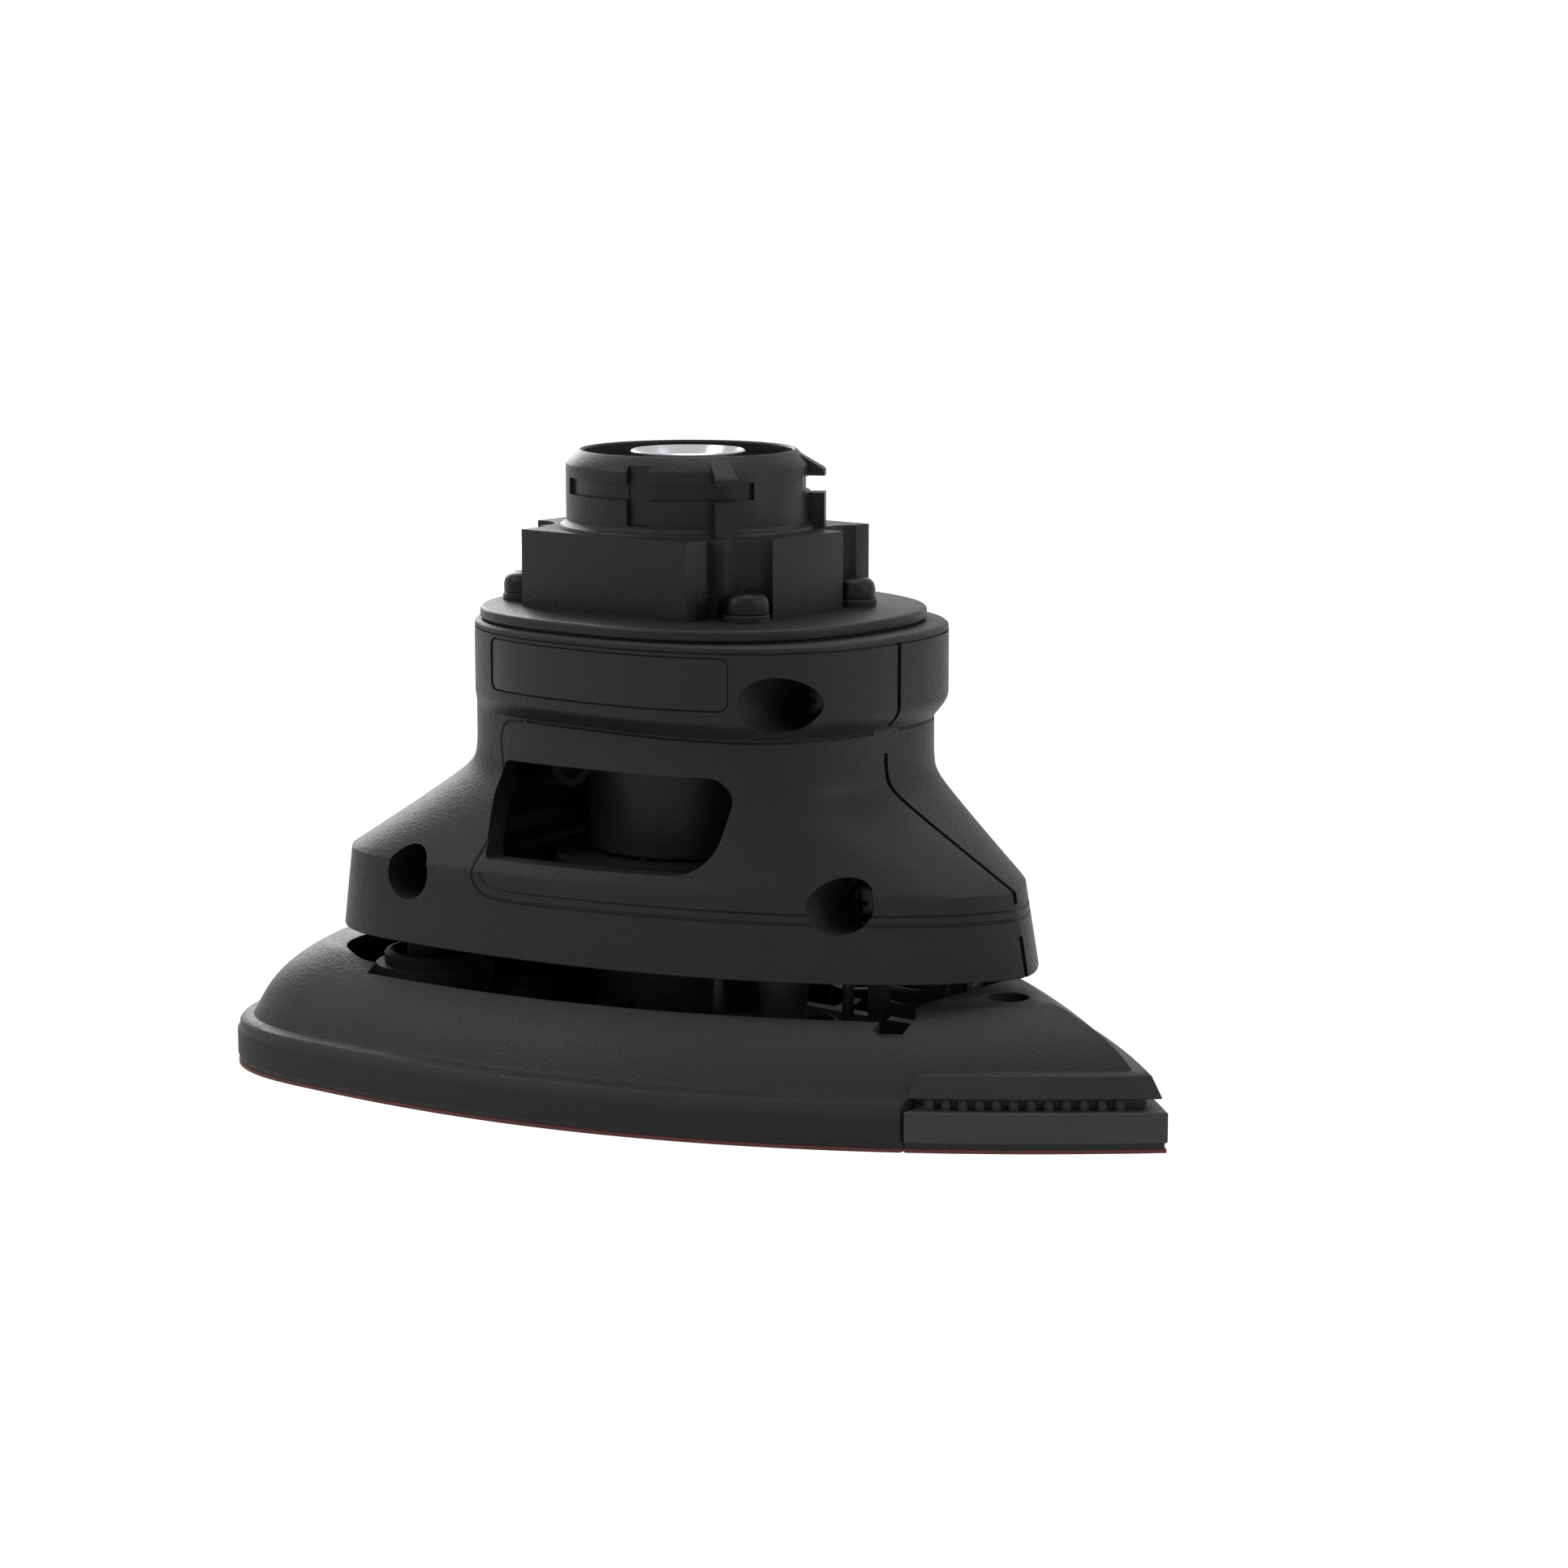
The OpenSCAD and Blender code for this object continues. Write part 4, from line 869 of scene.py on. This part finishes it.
class SANDER_OT_platen(bpy.types.Operator):
    """Models the platen moulding with its nose lip and dust holes"""

    bl_idname = "sander.platen"
    bl_label = "Platen"

    def execute(self, context):
        top = Z_PLATEN_TOP
        o = loft("platen_moulding", dome_levels(0.2, top))
        cut(o, loft("under", [(z - 0.01, outline) for z, outline in dome_levels(2.8, top - 2.6)]))
        lip = loft("lip", [(LIP_Z + h, plan(inset(BASE, d, TIP_LEAD))) for h, d in (
            (0, 0.75), (0.15, 0.62), (LIP_H - 0.25, 1.75), (LIP_H, 2.2))])
        keep(lip, prism("lip_end", rounded([
            (TIP_X + 0.6, LIP_Z - 1, 0.2), (95, LIP_Z - 1, 0.2), (95, 14, 0.2),
            (TIP_X + 0.6, LIP_Z + LIP_H + 0.02, 1.3)]), -50, 50, along="Y"))
        mouth = prism("mouth", rounded([(-27, -44, 1), (49, -44, 1), (49, 44, 1), (-27, 44, 1)]), 9, top + 1)
        join(mouth, *[post("mouth_end", x, y * m, 11.7, 9, top + 1)
                      for x, y in LEGS if x < 0 for m in (-1, 1)])
        keep(mouth, slab("mouth_rim", inset(BASE, MOUTH_IN, TIP_LEAD), 8, top + 2))
        cut(o, mouth, *[box("notch", 46.2, 49.8, *sorted((12 * m, 17.6 * m)), 13.6, top + 1)
                        for m in (-1, 1)])
        rib = Z_PLATEN + 6.4
        join(o, lip, post("crank_boss", ORBIT, 0, 13.6, Z_PLATEN, top - 0.02),
             *[post("cup_boss", x + ORBIT, y * m, 8.2, Z_PLATEN, rib + (0 if x > 0 else 3.4))
               for x, y in LEGS for m in (-1, 1)],
             *[post("dust_boss", x, y, DUST_R + 1.4, Z_PLATEN, rib) for x, y in DUST_RING],
             lathe("ring_rib", [(23, Z_PLATEN), (25, Z_PLATEN), (25, rib - 1), (23, rib - 1)]),
             box("long_rib", -50, TIP_X, -1, 1, Z_PLATEN, rib),
             box("cross_rib", -1, 1, -33, 33, Z_PLATEN, rib),
             post("tip_boss", *TIP_HOLE, 3.1, LIP_Z, LIP_Z + LIP_H))
        cut(o, box("tip_room", TIP_X - 0.1, 90, -50, 50, 0, LIP_Z),
            post("race_seat", ORBIT, 0, 11.02, 8.3, top + 1),
            post("race_way", ORBIT, 0, 9.1, Z_PLATEN - 1, 9.3))
        for x, y in LEGS:
            for m in (-1, 1):
                cut(o, post("cup_seat", x + ORBIT, y * m, 7.02, 9.8, top + 1),
                    post("cup_way", x + ORBIT, y * m, 3.7, Z_PLATEN - 1, 10.8))
        cut(o, *[post("dust_hole", x, y, DUST_R, Z_PLATEN - 1, top + 1) for x, y in DUST_RING],
            post("front_hole", 55.3, 0, DUST_R, top - 4.6, top + 1),
            post("tip_bore", *TIP_HOLE, 1.52, LIP_Z - 1, LIP_Z + LIP_H - 0.6, sides=32))
        finish_piece(o, "platen_plastic", "platen", "platen")
        crisp_ridge(o, 52)
        cups = []
        for x, y in LEGS:
            rim = low("leg_cups").z + (3.4 if x > 0 else 6.8)
            for m in (-1, 1):
                z0 = low("leg_cups").z
                cups.append(lathe_at("cup", [
                    (0, z0), (6.7, z0), (7, z0 + 0.3), (7, rim - 0.5), (6.7, rim - 0.1), (6.3, rim),
                    (5.95, rim - 0.15),
                    (5.7, rim - 0.5), (5.7, z0 + 2.2), (5.2, z0 + 1.6), (4.6, z0 + 1.4), (0, z0 + 1.4)],
                    x + ORBIT, y * m, 72))
        finish_piece(merge(cups, "leg_cups_rubber"), "elastic_rubber", "platen", "leg_cups")
        return {"FINISHED"}


def flat_layer(name, z0, z1, d, tip, round_edge=0.0):
    """One layer under the platen, or its tip part."""
    e = round_edge
    levels = [(z0, plan(inset(BASE, d + e, TIP_LEAD))), (z0 + e, plan(inset(BASE, d, TIP_LEAD))),
              (z1 - e, plan(inset(BASE, d, TIP_LEAD))), (z1, plan(inset(BASE, d + e, TIP_LEAD)))]
    o = loft(name, levels if e else [levels[0], levels[-1]])
    if tip:
        keep(o, box("tip_side", TIP_X + 0.5, 90, -50, 50, z0 - 1, z1 + 1))
    else:
        cut(o, box("tip_room", TIP_X, 90, -50, 50, z0 - 1, z1 + 1))
        cut(o, *[post("dust_hole", x, y, DUST_R, z0 - 1, z1 + 1) for x, y in DUST_RING])
        if z0 > 0:
            cut(o, post("bolt_way", ORBIT, 0, 9.1, z0 - 1, z1 + 1))
    if tip and z0 > 0:
        cut(o, post("screw_way", *TIP_HOLE, 3.05, z0 - 1, z1 + 1))
    return o


class SANDER_OT_layers(bpy.types.Operator):
    """Models the cushion pad, the hook layers and the abrasive sheets"""

    bl_idname = "sander.layers"
    bl_label = "Pad, hook and abrasive"

    def execute(self, context):
        pad = flat_layer("cushion_pad_foam", Z_PAD, Z_PLATEN, 0.0, False, 0.15)
        finish_piece(pad, "pad_foam", "platen", "platen_pad")
        finish_piece(flat_layer("hook_layer_tape", Z_HOOK, Z_PAD, 0.3, False), "hook_fabric", "platen",
                     "hook_layer")
        finish_piece(flat_layer("abrasive_sheet_coated", 0, Z_HOOK, 0.1, False), "abrasive_grit", "platen",
                     "abrasive_sheet")
        finish_piece(flat_layer("tip_hook_tape", Z_HOOK, Z_PAD, 0.3, True), "hook_fabric", "platen",
                     "tip_hook_layer")
        finish_piece(flat_layer("tip_abrasive_coated", 0, Z_HOOK, 0.1, True), "abrasive_grit", "platen",
                     "tip_abrasive")
        return {"FINISHED"}


class SANDER_OT_tip(bpy.types.Operator):
    """Models the detachable tip holder with its row of teeth"""

    bl_idname = "sander.tip"
    bl_label = "Tip holder"

    def execute(self, context):
        tooth_r = context.scene.sander_sizes.tooth
        o = flat_layer("tip_holder_toothed", Z_PAD, TIP_BLOCK_TOP, 0.0, True, 0.15)
        core = loft("core", [(TIP_BLOCK_TOP - 0.5, plan(inset(BASE, 2.6, TIP_LEAD))),
                             (LIP_Z - 0.1, plan(inset(BASE, 2.6, TIP_LEAD)))])
        join(o, keep(core, box("core_side", TIP_X + 1, 90, -50, 50, 0, 20)))
        tooth = lathe("tooth", [(0, TIP_BLOCK_TOP - 0.4), (tooth_r, TIP_BLOCK_TOP - 0.4),
                                (tooth_r, LIP_Z - 0.6), (tooth_r * 0.8, LIP_Z - 0.25),
                                (tooth_r * 0.4, LIP_Z - 0.1), (0, LIP_Z - 0.1)], 24)
        row = inset(BASE, 2.1, TIP_LEAD)
        for x in [TIP_X + 1.9 + 1.75 * i for i in range(13)]:
            share = (x - row[0]) / row[2]
            y = row[3] * (1 - share ** row[5])
            if y > 1:
                join(o, copy_of(tooth, "tooth_near", by=(x, -y, 0)),
                     copy_of(tooth, "tooth_far", by=(x, y, 0)))
        bpy.data.objects.remove(tooth)
        cut(o, post("head_room", *TIP_HOLE, 3.05, Z_PAD - 1, Z_PAD + 2.2),
            post("screw_way", *TIP_HOLE, 1.65, Z_PAD, LIP_Z + 1, sides=32))
        finish_piece(o, "tip_plastic", "platen", "tip_holder")
        return {"FINISHED"}


# ---- drive coupling
class SANDER_OT_coupling(bpy.types.Operator):
    """Models the plated drive coupling with its funnel and spline slots"""

    bl_idname = "sander.coupling"
    bl_label = "Drive coupling"

    def execute(self, context):
        low_z, top_z = low("drive_coupling").z, high("drive_coupling").z
        z = Z_FLANGE_TOP + 1
        o = lathe("drive_coupling_plated", [
            (4.02, low_z), (5.5, low_z), (5.5, z), (7.9, z), (7.9, top_z - 0.2), (7.7, top_z), (7.5, top_z),
            (5.25, top_z - 3.5), (5.2, top_z - 3.7), (5.2, 78), (4.5, 78), (4.5, 74), (4.02, 74)])
        for i in range(6):
            blade = box("spline", 0, 6.2, -0.6, 0.6, 78, top_z - 1.2)
            blade.rotation_euler.z = math.radians(60 * i)
            cut(o, place(blade))
        pin_z = (z + 74) / 2
        cut(o, rod("pin_way", 0, pin_z, 1.22, -9, 9, axis="X"))
        finish_piece(o, "coupling_steel", "spindle", "drive_coupling")
        return {"FINISHED"}


class SANDER_OT_cad_finishes(bpy.types.Operator):
    """Gives every CAD node that stays in view the finish of its material slot"""

    bl_idname = "sander.cad_finishes"
    bl_label = "Finishes of the CAD nodes"

    def execute(self, context):
        for subpart in frame["record"]["subparts"]:
            slots = frame["nodes"][subpart["node"]].data.materials
            for i in range(len(slots)):
                slots[i] = material_for(subpart["material_slot"])
        return {"FINISHED"}


# ---- stage
CAMERA_AT = (0.353596, -0.414249, 0.131602)  # metres
CAMERA_LOOK = (-0.62174696, 0.76533234, -0.16642456)
LENS = 90.544


def area_light(name, at, towards, size, power, tint="#ffffff"):
    light = bpy.data.lights.new(name, "AREA")
    light.shape = "RECTANGLE"
    light.size, light.size_y = size
    light.energy = power
    light.color = linear(tint)[:3]
    o = bpy.data.objects.new(name, light)
    bpy.context.scene.collection.objects.link(o)
    o.location = at
    o.rotation_euler = (Vector(towards) - Vector(at)).to_track_quat("-Z", "Y").to_euler()
    return o


def white_to_the_eye(tree, share):
    """Mixes plain white into what the eye, a gloss or a glass sees of a surface."""
    path = add_node(tree, "LightPath")
    seen = add_node(tree, "Math", {"operation": "MAXIMUM"})
    tree.links.new(path.outputs["Is Camera Ray"], seen.inputs[0])
    tree.links.new(path.outputs["Is Glossy Ray"], seen.inputs[1])
    seen_too = add_node(tree, "Math", {"operation": "MAXIMUM"})
    tree.links.new(seen.outputs[0], seen_too.inputs[0])
    tree.links.new(path.outputs["Is Transmission Ray"], seen_too.inputs[1])
    amount = add_node(tree, "Math", {"operation": "MULTIPLY"})
    tree.links.new(seen_too.outputs[0], amount.inputs[0])
    amount.inputs[1].default_value = share
    return amount.outputs[0]


class SANDER_OT_stage(bpy.types.Operator):
    """Sets the floor, the soft lamps, the world and the camera"""

    bl_idname = "sander.stage"
    bl_label = "Stage"

    def execute(self, context):
        scene = context.scene
        scene.view_settings.view_transform = "Standard"
        bpy.ops.mesh.primitive_plane_add(size=60)
        floor = bpy.context.object
        floor.name = "floor"
        material, tree = new_material("floor_matt_white")
        board = add_node(tree, "BsdfDiffuse", Color=linear("#f4f4f4"))
        plain = add_node(tree, "Emission", Color=(1, 1, 1, 1), Strength=1.6)
        both = add_node(tree, "MixShader")
        tree.links.new(white_to_the_eye(tree, 0.62), both.inputs["Fac"])
        tree.links.new(board.outputs[0], both.inputs[1])
        tree.links.new(plain.outputs[0], both.inputs[2])
        add_node(tree, "OutputMaterial", Surface=both.outputs[0])
        floor.data.materials.append(material)

        world = bpy.data.worlds.new("soft_white")
        scene.world = world
        world.use_nodes = True
        tree = world.node_tree
        tree.nodes.clear()
        lamp = add_node(tree, "Background", Color=(1, 1, 1, 1), Strength=0.17)
        plain = add_node(tree, "Background", Color=(1, 1, 1, 1), Strength=1.0)
        both = add_node(tree, "MixShader")
        tree.links.new(white_to_the_eye(tree, 1.0), both.inputs["Fac"])
        tree.links.new(lamp.outputs[0], both.inputs[1])
        tree.links.new(plain.outputs[0], both.inputs[2])
        add_node(tree, "OutputWorld", Surface=both.outputs[0])

        middle = (0.005, 0, 0.045)
        area_light("key_left", (-0.5, -0.65, 0.75), middle, (0.5, 0.5), 2.8)
        area_light("rim_right", (0.75, 0.25, 0.45), middle, (0.3, 0.6), 1.8)
        area_light("rim_left", (-0.6, 0.35, 0.4), middle, (0.3, 0.6), 3.6)
        area_light("top", (0.0, 0.1, 0.9), middle, (0.5, 0.5), 2.2)

        camera = bpy.data.cameras.new("camera")
        camera.sensor_width = 36
        camera.lens = LENS
        o = bpy.data.objects.new("camera", camera)
        scene.collection.objects.link(o)
        o.location = CAMERA_AT
        o.rotation_euler = Vector(CAMERA_LOOK).to_track_quat("-Z", "Y").to_euler()
        scene.camera = o
        return {"FINISHED"}


OPERATORS = (
    SANDER_OT_cad_finishes, SANDER_OT_shells, SANDER_OT_plate, SANDER_OT_screws, SANDER_OT_adapter,
    SANDER_OT_outlet, SANDER_OT_platen, SANDER_OT_layers, SANDER_OT_tip, SANDER_OT_coupling,
    SANDER_OT_stage)


class SANDER_PT_panel(bpy.types.Panel):
    """Lists the sizes, the colours and the steps of the model"""

    bl_label = "Sanding head"
    bl_idname = "SANDER_PT_panel"
    bl_space_type = "VIEW_3D"
    bl_region_type = "UI"
    bl_category = "Sander"

    def draw(self, context):
        for group in (context.scene.sander_sizes, context.scene.sander_finishes):
            column = self.layout.column(align=True)
            for name in group.__annotations__:
                column.prop(group, name)
        for operator in OPERATORS:
            self.layout.operator(operator.bl_idname)


CLASSES = (SanderSizes, SanderFinishes) + OPERATORS + (SANDER_PT_panel,)


def register():
    for item in CLASSES:
        bpy.utils.register_class(item)
    bpy.types.Scene.sander_sizes = PointerProperty(type=SanderSizes)
    bpy.types.Scene.sander_finishes = PointerProperty(type=SanderFinishes)


def unregister():
    del bpy.types.Scene.sander_sizes
    del bpy.types.Scene.sander_finishes
    for item in reversed(CLASSES):
        bpy.utils.unregister_class(item)


def main():
    register()
    for operator in OPERATORS:
        group, name = operator.bl_idname.split(".")
        getattr(getattr(bpy.ops, group), name)()
    bpy.context.view_layer.update()


if __name__ == "__main__":
    main()
